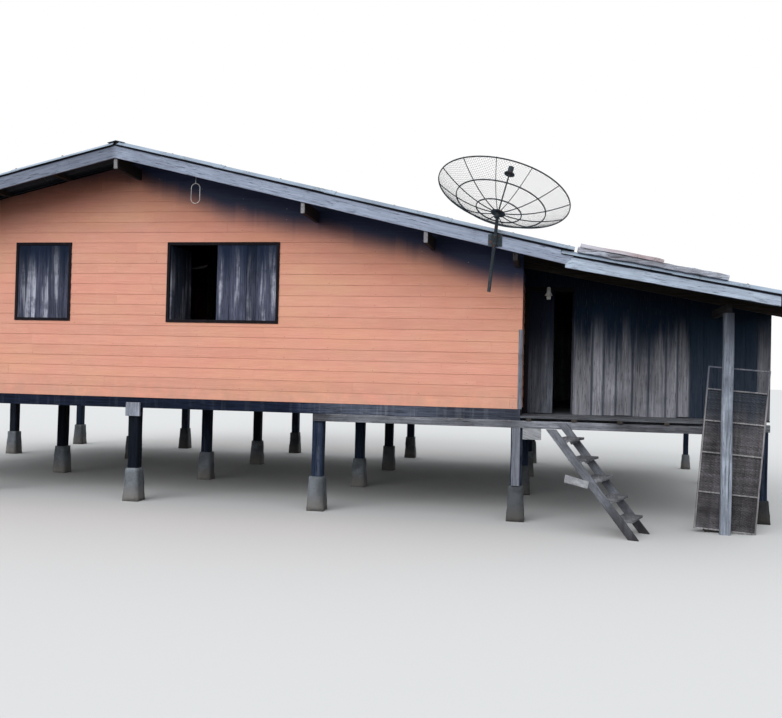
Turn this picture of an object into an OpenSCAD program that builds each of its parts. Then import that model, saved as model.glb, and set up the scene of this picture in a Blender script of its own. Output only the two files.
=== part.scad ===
// Timber house on posts: one gabled hall with its gable towards the front,
// and a lean-to with a recessed porch on the right-hand side.
// Origin: foot of the middle front post. +X runs along the gable, +Y into the depth, +Z up.

/* [Plan] */
// Spacing of the posts along the gable front
bay = 2650; // [2400:10:2900]
// Spacing of the post rows into the depth
row = 2650; // [2300:10:3000]
// Outer face of the walls beyond the corner post's centre
wall_out = 40; // [30:5:60]
// Porch post, beyond the end of the porch deck
porch_post_out = 75; // [70:1:200]
// Outer face of the lean-to's side wall, from the corner post's centre
lean_out = 3275; // [3200:5:3400]
// Depth of the recessed porch
porch_depth = 900; // [700:10:1200]
// Length of the porch deck along the front, from the corner post's centre
deck_len = 2470; // [2400:5:2520]

/* [Posts and footings] */
// Side of the square posts under the floor
post_w = 150; // [120:5:180]
// Chamfer along the edges of the posts
post_chamfer = 14; // [6:1:24]
// Side of a concrete footing at the ground
foot_w = 230; // [200:5:280]
// Side of a concrete footing at its top
foot_top_w = 182; // [180:1:220]
// Height of a concrete footing
foot_h = 460; // [300:10:600]
// Side of a slim lean-to post
lean_post_w = 100; // [80:5:120]
// Side of the porch post
porch_post_w = 120; // [90:5:140]
// Side of the columns inside the walls
column_w = 100; // [80:5:120]

/* [Floors] */
// Underside of the main floor beams
frame_z = 1300; // [1200:10:1500]
// Height of the main floor beams
floor_beam_h = 145; // [120:5:180]
// Thickness of the main floor beams
floor_beam_t = 80; // [60:5:100]
// Height of the main floor joists
joist_h = 75; // [60:5:100]
// Width of the main floor joists
joist_w = 50; // [40:5:70]
// Number of main floor joists
joists = 21; // [15:1:25]
// Thickness of floor boards
board_t = 25; // [20:1:35]
// Height of the low beam and the lean-to beams
low_beam_h = 95; // [80:5:120]
// Thickness of the low beam on the faces of the posts
low_beam_t = 45; // [35:1:60]
// Width of the lean-to beams
lean_beam_w = 60; // [50:5:80]
// Height of the lean-to joists, laid flat
lean_joist_h = 35; // [25:1:50]
// Width of the lean-to joists
lean_joist_w = 65; // [50:5:80]
// How far the porch boards stand out past the front wall
deck_nose = 60; // [50:1:80]

/* [Walls and windows] */
// Thickness of the boarded walls
wall_t = 25; // [20:1:35]
// Height of the gable windows' sills above the foot of the wall
sill_h = 1055; // [950:5:1100]
// Height of the gable windows
window_h = 1110; // [900:10:1150]
// Width of the single windows
window_w = 860; // [700:10:1000]
// Width of the double windows
double_w = 1620; // [1400:10:1800]
// Centre of the single window, left of the ridge
single_x = 1440; // [1250:5:1700]
// Centre of the double window, right of the ridge
double_x = 1250; // [1150:5:1400]
// Width of the closed leaf in the double window
closed_leaf_w = 850; // [700:5:900]
// Height of the windows in the side wall
side_window_h = 800; // [600:10:820]
// Height of the side windows' sills above the foot of the wall
side_sill_h = 980; // [850:5:1000]
// Width of the window frames' bars
frame_w = 40; // [30:1:60]
// How far a window frame stands out of the wall on each side
frame_out = 12; // [6:1:20]
// Thickness of shutters and door leaves
leaf_t = 22; // [16:1:24]

/* [Door] */
// Width of the left door post
jamb_w = 60; // [40:1:80]
// Width of the doorway beside its left post
door_w = 610; // [580:5:640]
// Height of the doorway
door_h = 1690; // [1550:10:1720]
// Width of the closed door leaf
door_leaf_w = 340; // [300:5:360]
// Thickness of the door frame
door_frame_t = 45; // [35:1:60]

/* [Main roof] */
// Slope of the main roof in degrees
roof_pitch = 13.35; // [12:0.05:14]
// Height of the boards over the door, at its right post
head_h = 150; // [80:5:300]
// Roof overhang past the gable walls
gable_over = 750; // [600:10:900]
// Main roof's eaves, from the corner post's centre
eave_out = 660; // [600:10:720]
// Height of a corrugated roof sheet over its waves
sheet_h = 55; // [40:1:60]
// Thickness of a corrugated roof sheet
sheet_t = 7; // [5:0.5:10]
// Width of one wave of the roof sheets
wave_w = 177; // [130:1:200]
// How far the roof sheets stand out past the barge boards
sheet_over = 30; // [0:5:50]
// Width of each wing of the ridge cap
ridge_wing = 120; // [80:5:200]
// How far the ridge cap stops short of the edges of the sheets
cap_back = 40; // [0:5:100]
// Thickness of the ridge cap
cap_t = 8; // [6:0.5:12]
// Thickness of the barge boards
barge_t = 25; // [20:1:35]
// Depth of the main barge boards
barge_h = 172; // [150:2:220]
// Side of the square purlins
purlin_w = 50; // [40:5:60]
// Number of purlins on each slope
purlins_n = 7; // [6:1:9]
// Height of the rafters
rafter_h = 100; // [80:5:110]
// Width of the rafters
rafter_w = 50; // [40:5:60]
// Number of rafter pairs
rafter_pairs = 7; // [5:2:9]
// Depth of the long roof beams
long_beam_h = 150; // [120:5:170]
// Width of the long roof beams
long_beam_w = 50; // [40:5:60]
// Inner pair of long roof beams, from the ridge
beam_x1 = 2575; // [2500:5:2700]
// Outer pair of long roof beams, from the ridge
beam_x2 = 4160; // [3900:5:4400]
// Depth of the wall plates
plate_h = 110; // [90:5:130]
// Width of the wall plates
plate_w = 60; // [50:5:80]
// Height of the collar ties
collar_h = 100; // [80:5:120]
// Thickness of the collar ties
collar_t = 40; // [30:1:50]

/* [Lean-to roof] */
// Slope of the lean-to roof in degrees
lean_pitch = 10.8; // [10:0.1:11.4]
// Lean-to roof's overhang past the lean-to's side wall
lean_eave_out = 75; // [60:5:400]
// How far the lean-to barge board ends short of the eaves
lean_barge_back = 340; // [100:10:500]
// Depth of the lean-to barge board at its upper end
lean_barge_h = 153; // [140:1:200]
// Depth of the lean-to barge board at its low end
barge_end_h = 128; // [110:1:180]
// Number of purlins on the lean-to
lean_purlins_n = 4; // [4:1:6]
// Width of the beam over the porch post
porch_beam_w = 60; // [50:5:80]
// Depth of the beam over the porch post
porch_beam_h = 100; // [80:5:120]
// Thickness of the old timbers that lie on the lean-to roof
ballast_t = 65; // [40:5:90]
// Width of the old timbers
ballast_w = 135; // [90:5:160]
// Length of the old timbers
ballast_len = 1760; // [1200:10:2200]
// Length of the loose sheet on them, down the slope
loose_len = 1040; // [800:10:1400]
// Width of the loose sheet on them
loose_w = 1650; // [1200:10:2400]

/* [Stair] */
// Number of treads
treads = 5; // [4:1:5]
// Rise from tread to tread
tread_rise = 225; // [200:1:235]
// Slope of the stair in degrees
stair_slope = 50.5; // [48:0.1:56]
// Turn of the stair away from the wall in degrees
stair_turn = 18; // [10:1:25]
// Top of the stair, from the corner post's centre
stair_x = 370; // [300:5:450]
// Width of the stair over its stringers
stair_w = 600; // [500:10:700]
// Depth of a stringer board
stringer_h = 95; // [85:5:120]
// Thickness of a stringer board
stringer_t = 40; // [30:1:50]
// Depth of a tread
tread_d = 230; // [200:5:260]
// Thickness of a tread
tread_t = 30; // [22:1:40]
// Height of the cleats under the treads
cleat_h = 70; // [50:1:80]
// Width of the cleats under the treads
cleat_w = 35; // [25:1:50]

/* [Screen] */
// Left corner of the leaning screen, back from the end of the porch deck
screen_back = 280; // [220:5:320]
// Width of the screen
screen_w = 730; // [650:10:800]
// Height of the screen
screen_h = 2010; // [1800:10:2200]
// Height of its woven mat
mat_h = 1740; // [1500:10:1760]
// Thickness of the mat
mat_t = 14; // [8:1:20]
// Thickness of the battens on the mat
batten_t = 16; // [10:1:25]
// Width of the battens on the mat
batten_w = 18; // [12:1:40]
// Lean of the screen in degrees
screen_lean = 4; // [0:0.5:6]

/* [Dish and fittings] */
// Diameter of the mesh dish
dish_d = 1650; // [1200:10:1800]
// Focal length of the dish
dish_focus = 630; // [520:5:750]
// Number of radial ribs in the dish
dish_ribs = 12; // [8:2:16]
// Mast diameter
mast_d = 42; // [34:1:50]
// Bracket of the mast on the barge board, in from the corner post's centre
mast_in = 282; // [250:2:450]
// Length of the mast below its bracket
mast_drop = 633; // [400:1:800]
// Height of the dish's foot above the bracket
mast_rise = 317; // [300:1:450]
// Lean of the mast in degrees
mast_lean = 5.3; // [0:0.1:8]
// Width of the porch lamp's shade
lamp_d = 110; // [80:1:140]
// Length of the hanging wire loop
loop_len = 260; // [180:5:300]

/* [Hidden] */

// Plan
half_w = 2 * bay;
post_xs = [for (i = [-2:2]) i * bay];
row_y = [for (i = [0:3]) post_w / 2 + i * row];
depth = 3 * row + post_w;
wall_x = half_w + wall_out;
in_x = wall_x - wall_t;
lean_x = half_w + lean_out;
deck_end_x = half_w + deck_len;
beam_in = 5;
beam_x = wall_x - beam_in;

// Levels
wall_z = frame_z + floor_beam_h;
floor_z = wall_z + joist_h + board_t;
deck_z = frame_z + lean_joist_h + board_t;
low_z = frame_z - low_beam_h;
sill_z = wall_z + sill_h;
side_sill_z = wall_z + side_sill_h;
door_top_z = deck_z + door_h;

// Roof planes: undersides of the sheets, tops and undersides of the rafters
eave_x = half_w + eave_out;
lean_eave_x = lean_x + lean_eave_out;
front_y = -gable_over + barge_t;
back_y = depth + gable_over - barge_t;
verge_y = -gable_over - sheet_over;
rafter_end_x = eave_x - 190;
purlin_x0 = 150;
purlin_x1 = eave_x - 240;
lean_sheet_x = eave_x - 150;
lean_purlin_x0 = eave_x - 100;
lean_purlin_x1 = lean_eave_x - 60;
ridge_z = door_top_z + jamb_w + head_h + (sheet_h + purlin_w) / cos(lean_pitch)
    + eave_x * tan(roof_pitch) - (eave_x - wall_x - jamb_w - door_w) * tan(lean_pitch);
function roof_at(x) = ridge_z - abs(x) * tan(roof_pitch);
function rafter_top(x) = roof_at(x) - purlin_w / cos(roof_pitch);
function rafter_low(x) = rafter_top(x) - rafter_h / cos(roof_pitch);
function lean_at(x) = roof_at(eave_x) - sheet_h / cos(lean_pitch) - (x - eave_x) * tan(lean_pitch);
function lean_rafter_top(x) = lean_at(x) - purlin_w / cos(lean_pitch);
function lean_rafter_low(x) = lean_rafter_top(x) - rafter_h / cos(lean_pitch);

// Inner frame
column_x = in_x - column_w / 2;
column_y = [wall_t + column_w / 2, row_y[1], row_y[2], depth - wall_t - column_w / 2];
beam1_low = rafter_low(beam_x1 + long_beam_w / 2) - long_beam_h;
plate_low = rafter_low(column_x + plate_w / 2) - plate_h;
lean_post_x = lean_x - wall_t - lean_post_w / 2;
lean_post_y = [porch_depth, row_y[1], row_y[2], row_y[3]];
lean_plate_x = lean_x - wall_t - plate_w / 2;
lean_plate_low = lean_rafter_low(lean_plate_x + plate_w / 2) - plate_h;
lean_column_y = [porch_depth + wall_t + plate_w / 2, row_y[1], row_y[2], depth - wall_t - plate_w / 2];
lean_foot_w = lean_post_w + 75;
lean_foot_top_w = lean_post_w + 30;
lean_foot_h = 300;
deck_post_x = deck_end_x - lean_post_w / 2;

// Doorway
door_x0 = wall_x + jamb_w;
door_x1 = door_x0 + door_w;
leaf_gap = 4;

// Porch post, behind it the screen and the nose of the deck
screen_y = -deck_nose;
batten_y = screen_y - mat_t;
porch_post_y = batten_y - batten_t - porch_post_w / 2;
porch_x = deck_end_x + porch_post_out;
porch_beam_low = lean_rafter_low(porch_x + porch_beam_w / 2) - porch_beam_h;

// Stair, in its own frame: x down the flight, y across it from the near stringer
stair_top_z = frame_z - 65;
stringer_v = stringer_h / sin(stair_slope);
stair_y = -low_beam_t - stair_w * cos(stair_turn);
function stringer_x(z) = (stair_top_z - z) / tan(stair_slope);

// Dish
bracket_t = 10;
bracket_out = sheet_over + 10;
bracket_x = half_w - mast_in;
bracket_z = roof_at(bracket_x) - barge_h / 2;
mast_y = -gable_over - bracket_out - mast_d / 2;
dish_z = bracket_z + mast_rise;
dish_x = bracket_x + mast_rise * tan(mast_lean);
dish_tilt = 22;
dish_turn = 55;
hub_r = 90;
hub_t = 10;
function dish_at(r) = r * r / (4 * dish_focus);

wood_grey = [0.52, 0.51, 0.52];
wood_dark = [0.20, 0.17, 0.16];
wood_brown = [0.36, 0.29, 0.24];
wood_pale = [0.66, 0.64, 0.62];
paint_orange = [0.86, 0.47, 0.27];
concrete = [0.60, 0.60, 0.58];
sheet_grey = [0.62, 0.66, 0.68];
steel_dark = [0.18, 0.20, 0.24];

// A box given by its low corner and its high corner
module block(low, high) {
    translate(low) cube(high - low);
}

// An outline in X and Z, extruded from y0 to y1
module across(y0, y1) {
    translate([0, y1, 0]) rotate([90, 0, 0]) linear_extrude(y1 - y0) children();
}

// A rectangle in X and Z, for outlines
module panel(x0, x1, z0, z1) {
    translate([x0, z0]) square([x1 - x0, z1 - z0]);
}

// A square timber post with chamfered edges, standing at x, y
module post(x, y, w, z0, z1) {
    h = w / 2;
    c = post_chamfer;
    translate([x, y, z0]) linear_extrude(z1 - z0) polygon([
        [c - h, -h], [h - c, -h], [h, c - h], [h, h - c],
        [h - c, h], [c - h, h], [-h, h - c], [-h, c - h]
    ]);
}

// A concrete footing with four sloping sides
module footing(x, y, w0, w1, h) {
    side = [[-w0 / 2, 0], [w0 / 2, 0], [w1 / 2, h], [-w1 / 2, h]];
    translate([x, y, 0]) intersection() {
        across(-w0, w0) polygon(side);
        rotate([0, 0, 90]) across(-w0, w0) polygon(side);
    }
}

// Outline of a lengthwise beam under the lean-to's rafters at x
module lean_beam_outline(x, w, h) {
    x0 = x - w / 2;
    x1 = x + w / 2;
    low = lean_rafter_low(x1) - h;
    polygon([[x0, low], [x1, low], [x1, lean_rafter_low(x1)], [x0, lean_rafter_low(x0)]]);
}

// Outline of a lengthwise beam under the rafters at x
module beam_outline(x, w, h) {
    x0 = x - w / 2;
    x1 = x + w / 2;
    low = rafter_low(max(abs(x0), abs(x1))) - h;
    polygon(x == 0
        ? [[x0, low], [x1, low], [x1, rafter_low(x1)], [0, rafter_low(0)], [x0, rafter_low(x0)]]
        : [[x0, low], [x1, low], [x1, rafter_low(x1)], [x0, rafter_low(x0)]]);
}

module footings() {
    color(concrete) {
        for (y = row_y, x = post_xs) footing(x, y, foot_w, foot_top_w, foot_h);
        for (y = lean_post_y) footing(lean_post_x, y, lean_foot_w, lean_foot_top_w, lean_foot_h);
        footing(deck_post_x, lean_post_w / 2, lean_foot_w, lean_foot_top_w, lean_foot_h);
    }
}

// Posts under the hall, and slimmer ones under the lean-to and the end of the porch
module floor_posts() {
    color(wood_dark) {
        for (y = row_y, x = post_xs) post(x, y, post_w, foot_h, frame_z);
        for (y = lean_post_y) post(lean_post_x, y, lean_post_w, lean_foot_h, low_z);
        post(deck_post_x, lean_post_w / 2, lean_post_w, lean_foot_h, frame_z);
    }
}

module porch_post() {
    color(wood_pale) post(porch_x, porch_post_y, porch_post_w, 0, porch_beam_low);
}

// Pale pieces nailed on the face of the house: the batten on the corner post, the block on the middle
// post and the strip at the corner of the front wall
module pale_strips() {
    batten_x = half_w - post_w / 2 + 15;
    strip_x = wall_x - frame_w;
    color(wood_pale) {
        block([batten_x, -40, foot_h], [batten_x + 105, 0, low_z]);
        block([-105, -40, frame_z - 115], [105, 0, frame_z + 75]);
        block([strip_x, -frame_out, wall_z], [wall_x + frame_out, 0, sill_z - 30]);
    }
}

// Beams across the rows of posts: the two outer ones carry the gable walls
module floor_beams() {
    color(wood_dark) {
        for (y = [beam_in, depth - beam_in - floor_beam_t])
            block([-beam_x, y, frame_z], [beam_x, y + floor_beam_t, wall_z]);
        for (i = [1, 2]) block([floor_beam_t - beam_x, row_y[i] - floor_beam_t / 2, frame_z],
            [beam_x - floor_beam_t, row_y[i] + floor_beam_t / 2, wall_z]);
    }
}

// Beams under the side walls, between the outer floor beams
module side_beams() {
    y = beam_in + floor_beam_t;
    color(wood_dark) for (m = [0, 1]) mirror([m, 0, 0])
        block([beam_x - floor_beam_t, y, frame_z], [beam_x, depth - y, wall_z]);
}

module low_beam() {
    color(wood_pale) block([bay - post_w / 3, -low_beam_t, low_z], [deck_end_x, 0, frame_z]);
}

module floor_joists() {
    x = in_x - joist_w / 2;
    color(wood_brown) for (i = [0:joists - 1])
        translate([-x + i * 2 * x / (joists - 1) - joist_w / 2, wall_t, wall_z])
            cube([joist_w, depth - 2 * wall_t, joist_h]);
    color(wood_grey) lean_joists();
}

// Flat joists under the porch and the lean-to, one of them left long
module lean_joists() {
    x0 = half_w + post_w;
    steps = 4;
    long_nose = 10;
    for (i = [0:steps]) {
        nose = deck_nose + (i == 2 ? long_nose : 0);
        translate([x0 + i * (deck_post_x - x0) / steps - lean_joist_w / 2, -nose, frame_z])
            cube([lean_joist_w, depth + nose, lean_joist_h]);
    }
    translate([lean_post_x - lean_joist_w / 2, porch_depth, frame_z])
        cube([lean_joist_w, depth - porch_depth, lean_joist_h]);
}

module main_floor() {
    color(wood_brown) block([-in_x, wall_t, floor_z - board_t], [in_x, depth - wall_t, floor_z]);
}

module lean_beams() {
    w = lean_beam_w / 2;
    color(wood_grey) {
        block([beam_x - floor_beam_t, porch_depth - w, low_z], [lean_x, porch_depth + w, frame_z]);
        for (i = [1:3])
            block([half_w + post_w / 2, row_y[i] - w, low_z], [lean_x, row_y[i] + w, frame_z]);
    }
}

module lean_floor() {
    z = deck_z - board_t;
    color(wood_grey) {
        block([wall_x, -deck_nose, z], [deck_end_x, porch_depth, deck_z]);
        block([wall_x, porch_depth, z], [lean_x, depth, deck_z]);
    }
}

// Gable wall with its two windows and the seats of the roof beams
module gable_wall(y0) {
    across(y0, y0 + wall_t) difference() {
        polygon([
            [-wall_x, wall_z], [wall_x, wall_z], [wall_x, rafter_top(wall_x)],
            [0, rafter_top(0)], [-wall_x, rafter_top(wall_x)]
        ]);
        window_outline(-single_x, window_w);
        window_outline(double_x, double_w);
        for (x = [-beam_x2, -beam_x1, 0, beam_x1, beam_x2]) beam_outline(x, long_beam_w, long_beam_h);
        for (x = [-column_x, column_x]) beam_outline(x, plate_w, plate_h);
    }
}

module window_outline(x, w, inset = 0) {
    panel(x - w / 2 + inset, x + w / 2 - inset, sill_z + inset, sill_z + window_h - inset);
}

module front_wall() {
    color(paint_orange) gable_wall(0);
}

module rear_wall() {
    color(paint_orange) gable_wall(depth - wall_t);
}

// Outlines of the side windows, in Y and Z
side_window_y = [for (i = [0, 2]) row_y[i] + row / 2];

module side_window_outline(y, inset = 0) {
    panel(y - window_w / 2 + inset, y + window_w / 2 - inset,
        side_sill_z + inset, side_sill_z + side_window_h - inset);
}

// An outline in Y and Z, extruded from x0 to x1
module along(x0, x1) {
    translate([x0, 0, 0]) rotate([90, 0, 90]) linear_extrude(x1 - x0) children();
}

// Left wall of the hall, and the return of its right wall beside the porch
module side_walls() {
    color(paint_orange) {
        along(-wall_x, -in_x) difference() {
            panel(wall_t, depth - wall_t, wall_z, rafter_low(wall_x));
            for (y = side_window_y) side_window_outline(y);
        }
        block([in_x, wall_t, wall_z], [wall_x, porch_depth + wall_t, lean_rafter_low(wall_x)]);
    }
}

// Boarded wall at the back of the porch, from x0 to x1, above z
module porch_boards(x0, x1, z) {
    across(porch_depth, porch_depth + wall_t)
        polygon([[x0, z], [x1, z], [x1, lean_rafter_top(x1)], [x0, lean_rafter_top(x0)]]);
}

module porch_wall() {
    color(wood_grey) porch_boards(door_x1, lean_x, deck_z);
}

module door_head_wall() {
    color(wood_grey) porch_boards(wall_x, door_x1, door_top_z + jamb_w);
}

module lean_side_wall() {
    color(wood_grey) block([lean_x - wall_t, porch_depth + wall_t, deck_z],
        [lean_x, depth - wall_t, lean_rafter_low(lean_x)]);
}

module lean_rear_wall() {
    color(wood_grey) across(depth - wall_t, depth) polygon([
        [wall_x, deck_z], [lean_x, deck_z], [lean_x, lean_rafter_top(lean_x)],
        [wall_x, lean_rafter_top(wall_x)]
    ]);
}

module window_frames() {
    color(wood_dark) {
        for (y = [-frame_out, depth - wall_t - frame_out]) across(y, y + wall_t + 2 * frame_out) {
            difference() {
                window_outline(-single_x, window_w);
                window_outline(-single_x, window_w, frame_w);
            }
            difference() {
                window_outline(double_x, double_w);
                window_outline(double_x, double_w, frame_w);
            }
        }
        along(-wall_x - frame_out, -in_x + frame_out) for (y = side_window_y) difference() {
            side_window_outline(y);
            side_window_outline(y, frame_w);
        }
    }
}

// Right edge of the double window between its frame's bars
double_in_x = double_x + double_w / 2 - frame_w;

module closed_leaf() {
    panel(double_in_x - closed_leaf_w, double_in_x, sill_z + frame_w, sill_z + window_h - frame_w);
}

// Closed leaves in every window but one, and the leaf that stands open into the hall
module shutters() {
    back = depth - leaf_t;
    x = double_x - double_w / 2 + frame_w;
    open_w = double_in_x - closed_leaf_w - leaf_gap - x;
    z0 = sill_z + frame_w;
    z1 = sill_z + window_h - frame_w;
    color(wood_grey) {
        for (y = [0, back]) across(y, y + leaf_t) {
            window_outline(-single_x, window_w, frame_w);
            closed_leaf();
        }
        across(back, back + leaf_t) panel(x, x + open_w, z0, z1);
        along(-wall_x, -wall_x + leaf_t) for (y = side_window_y) side_window_outline(y, frame_w);
        block([x, leaf_t, z0], [x + leaf_t, leaf_t + open_w, z1]);
    }
}

module door_frame() {
    y0 = porch_depth - 10;
    y1 = y0 + door_frame_t;
    color(wood_dark) {
        across(y0, y1) union() {
            panel(wall_x, door_x0, deck_z, door_top_z);
            panel(wall_x, door_x1, door_top_z, door_top_z + jamb_w);
        }
        block([door_x1, porch_depth + wall_t, deck_z],
            [door_x1 + jamb_w, porch_depth + wall_t + jamb_w, door_top_z]);
    }
}

module door_leaves() {
    z0 = deck_z + 8;
    z1 = door_top_z - 4;
    y = porch_depth + wall_t;
    open_w = door_w - door_leaf_w - leaf_gap;
    color(wood_grey) {
        block([door_x0, porch_depth, z0], [door_x0 + door_leaf_w, porch_depth + leaf_t, z1]);
        block([door_x1 - leaf_t, y, z0], [door_x1, y + open_w, z1]);
    }
}

module column(x, y, w, z0, z1) {
    block([x - w / 2, y - w / 2, z0], [x + w / 2, y + w / 2, z1]);
}

module columns() {
    color(wood_brown) {
        for (y = column_y) {
            column(0, y, column_w, floor_z, rafter_low(long_beam_w / 2) - long_beam_h);
            for (s = [-1, 1]) {
                column(s * beam_x1, y, column_w, floor_z, beam1_low);
                column(s * column_x, y, column_w, floor_z, plate_low);
            }
        }
        for (y = lean_column_y) column(lean_plate_x, y, plate_w, deck_z, lean_plate_low);
    }
}

// Ties on the faces of the columns, just below the inner long beams
module collar_ties() {
    x = beam_x1 + column_w / 2;
    z = beam1_low - 20;
    color(wood_brown) for (y = column_y) {
        y0 = y < depth / 2 ? y + column_w / 2 : y - column_w / 2 - collar_t;
        block([-x, y0, z - collar_h], [x, y0 + collar_t, z]);
    }
}

// Plates under the low ends of the rafters: the hall's two, the lean-to's and the porch's
module wall_plates() {
    color(wood_grey) {
        across(front_y, back_y) for (x = [-column_x, column_x]) beam_outline(x, plate_w, plate_h);
        across(porch_depth + wall_t, depth - wall_t) lean_beam_outline(lean_plate_x, plate_w, plate_h);
        across(porch_post_y - porch_post_w / 2, porch_depth)
            lean_beam_outline(porch_x, porch_beam_w, porch_beam_h);
    }
}

module long_beams() {
    color(wood_grey) across(front_y, back_y)
        for (x = [-beam_x2, -beam_x1, 0, beam_x1, beam_x2]) beam_outline(x, long_beam_w, long_beam_h);
}

rafter_y = [
    for (i = [0:rafter_pairs - 1]) wall_t + i * (depth - 2 * wall_t - rafter_w) / (rafter_pairs - 1)
];

module rafters() {
    color(wood_brown) for (y = rafter_y, m = [0, 1]) mirror([m, 0, 0]) across(y, y + rafter_w)
        polygon([
            [0.5, rafter_top(0.5)], [rafter_end_x, rafter_top(rafter_end_x)],
            [rafter_end_x, rafter_low(rafter_end_x)], [0.5, rafter_low(0.5)]
        ]);
}

module purlins() {
    w = purlin_w / 2;
    step = (purlin_x1 - purlin_x0) / (purlins_n - 1);
    lean_step = (lean_purlin_x1 - lean_purlin_x0) / (lean_purlins_n - 1);
    color(wood_brown) across(front_y, back_y) {
        for (i = [0:purlins_n - 1], m = [0, 1]) mirror([m, 0]) let (x = purlin_x0 + i * step) polygon([
            [x - w, rafter_top(x - w)], [x + w, rafter_top(x + w)],
            [x + w, roof_at(x + w)], [x - w, roof_at(x - w)]
        ]);
        for (i = [0:lean_purlins_n - 1]) let (x = lean_purlin_x0 + i * lean_step) polygon([
            [x - w, lean_rafter_top(x - w)], [x + w, lean_rafter_top(x + w)],
            [x + w, lean_at(x + w)], [x - w, lean_at(x - w)]
        ]);
    }
}

// Lean-to rafters, each nailed to the side of a main rafter
module lean_rafters() {
    x0 = half_w;
    x1 = lean_purlin_x1 + purlin_w / 2;
    color(wood_brown) for (y = rafter_y) {
        y0 = y + (y < depth - rafter_w - wall_t - 1 ? rafter_w : -rafter_w);
        across(y0, y0 + rafter_w) polygon([
            [x0, lean_rafter_top(x0)], [x1, lean_rafter_top(x1)],
            [x1, lean_rafter_low(x1)], [x0, lean_rafter_low(x0)]
        ]);
    }
}

// The main barge board gives way to the tucked-in sheets of the lean-to and ends at a slanting joint
joint_x = eave_x - 100;
joint_z = roof_at(joint_x) - barge_h;

module barge_boards() {
    x = lean_sheet_x;
    color(wood_grey) for (y = [-gable_over, back_y]) across(y, y + barge_t) polygon([
        [0, roof_at(0)], [x, roof_at(x)], [x, lean_at(x)], [eave_x, lean_at(eave_x)], [joint_x, joint_z],
        [0, roof_at(0) - barge_h], [-joint_x, joint_z], [-eave_x, roof_at(eave_x)]
    ]);
}

module lean_barge_boards() {
    x1 = lean_eave_x - lean_barge_back;
    low_z = lean_at(joint_x) - lean_barge_h;
    color(wood_pale) for (y = [-gable_over, back_y]) across(y, y + barge_t) polygon([
        [joint_x, joint_z], [joint_x, low_z], [x1, lean_at(x1) - barge_end_h],
        [x1, lean_at(x1)], [eave_x, lean_at(eave_x)]
    ]);
}

// Section of corrugated sheets of a given width, in Y and Z, with a trough at both edges
module sheet_section(width) {
    facets = 8;
    steps = facets * round(width / wave_w);
    zs = [for (i = [0:facets - 1]) (sheet_h - sheet_t) / 2 * (1 - cos(i * 360 / facets))];
    polygon(concat(
        [for (i = [0:steps]) [i * width / steps, zs[i % facets]]],
        [for (i = [steps:-1:0]) [i * width / steps, zs[i % facets] + sheet_t]]
    ));
}

// Corrugated sheets over the whole depth, on a slope that starts at x0, z0 and falls to x1
module roof_sheets(x0, x1, z0, pitch) {
    translate([x0, verge_y, z0]) rotate([0, pitch, 0])
        along(0, (x1 - x0) / cos(pitch)) sheet_section(depth - 2 * verge_y);
}

ridge_gap = 30;

module main_roof() {
    color(sheet_grey) for (m = [0, 1]) mirror([m, 0, 0])
        roof_sheets(ridge_gap, eave_x, roof_at(ridge_gap), roof_pitch);
}

module lean_roof() {
    color(sheet_grey) roof_sheets(lean_sheet_x, lean_eave_x, lean_at(lean_sheet_x), lean_pitch);
}

// Places its children on the slope of the lean-to's sheets, on their waves
module on_lean_roof() {
    translate([eave_x + 30, verge_y, lean_at(eave_x + 30)]) rotate([0, lean_pitch, 0])
        translate([0, 0, sheet_h]) children();
}

// Old timbers laid down the slope of the lean-to
module old_timbers() {
    color(wood_grey) on_lean_roof() for (y = [10, loose_w - ballast_w - 60])
        translate([0, y, 0]) cube([ballast_len, ballast_w, ballast_t]);
}

// A loose sheet, laid on the old timbers
module loose_sheet() {
    color(sheet_grey) on_lean_roof() translate([20, 0, ballast_t])
        along(0, loose_len) sheet_section(loose_w);
}

module ridge_cap() {
    low = sheet_h / cos(roof_pitch);
    high = low + cap_t;
    color(sheet_grey) across(verge_y + cap_back, depth - verge_y - cap_back) polygon([
        [0, roof_at(0) + low], [ridge_wing, roof_at(ridge_wing) + low],
        [ridge_wing, roof_at(ridge_wing) + high], [0, roof_at(0) + high],
        [-ridge_wing, roof_at(ridge_wing) + high], [-ridge_wing, roof_at(ridge_wing) + low]
    ]);
}

// Places its children in the frame of the stair
module at_stair() {
    translate([half_w + stair_x, stair_y, 0]) rotate([0, 0, -stair_turn]) children();
}

module stringer(y, top) {
    across(y, y + stringer_t) polygon([
        [stringer_x(top), top], [stringer_x(top) + stringer_v, top],
        [stringer_x(0) + stringer_v, 0], [stringer_x(0), 0]
    ]);
}

// The far stringer runs on up to the face of the low beam and is cut to it
module stair_stringers() {
    reach = 2 * stair_w;
    color(wood_grey) {
        at_stair() stringer(0, stair_top_z);
        intersection() {
            at_stair() stringer(stair_w - stringer_t, frame_z - 10);
            block([half_w, -reach, 0], [half_w + 3 * reach, -low_beam_t, frame_z]);
        }
    }
}

function tread_x(i) = stringer_x(i * tread_rise - tread_t) + stringer_v / 2;

module stair_treads() {
    color(wood_pale) at_stair() for (i = [1:treads])
        translate([tread_x(i) - 0.38 * tread_d, stringer_t, i * tread_rise - tread_t])
            cube([tread_d, stair_w - 2 * stringer_t, tread_t]);
}

// Wedges under the treads, a short board nailed on the near stringer and one under the low beam
module stair_cleats() {
    wedge = [[-60, 0], [0.4 * tread_d, 0], [45, -0.6 * cleat_h], [-15, -cleat_h]];
    brace = [[252, 612], [540, 560], [552, 642], [262, 706]];
    color(wood_grey) at_stair() {
        for (i = [1:treads], y = [stringer_t, stair_w - stringer_t - cleat_w])
            translate([tread_x(i), 0, i * tread_rise - tread_t]) across(y, y + cleat_w) polygon(wedge);
        across(-board_t, 0) polygon(brace);
    }
    color(wood_grey) block([half_w + post_w / 2, -low_beam_t + 5, low_z - 145], [half_w + 310, -10, low_z]);
}

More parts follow.
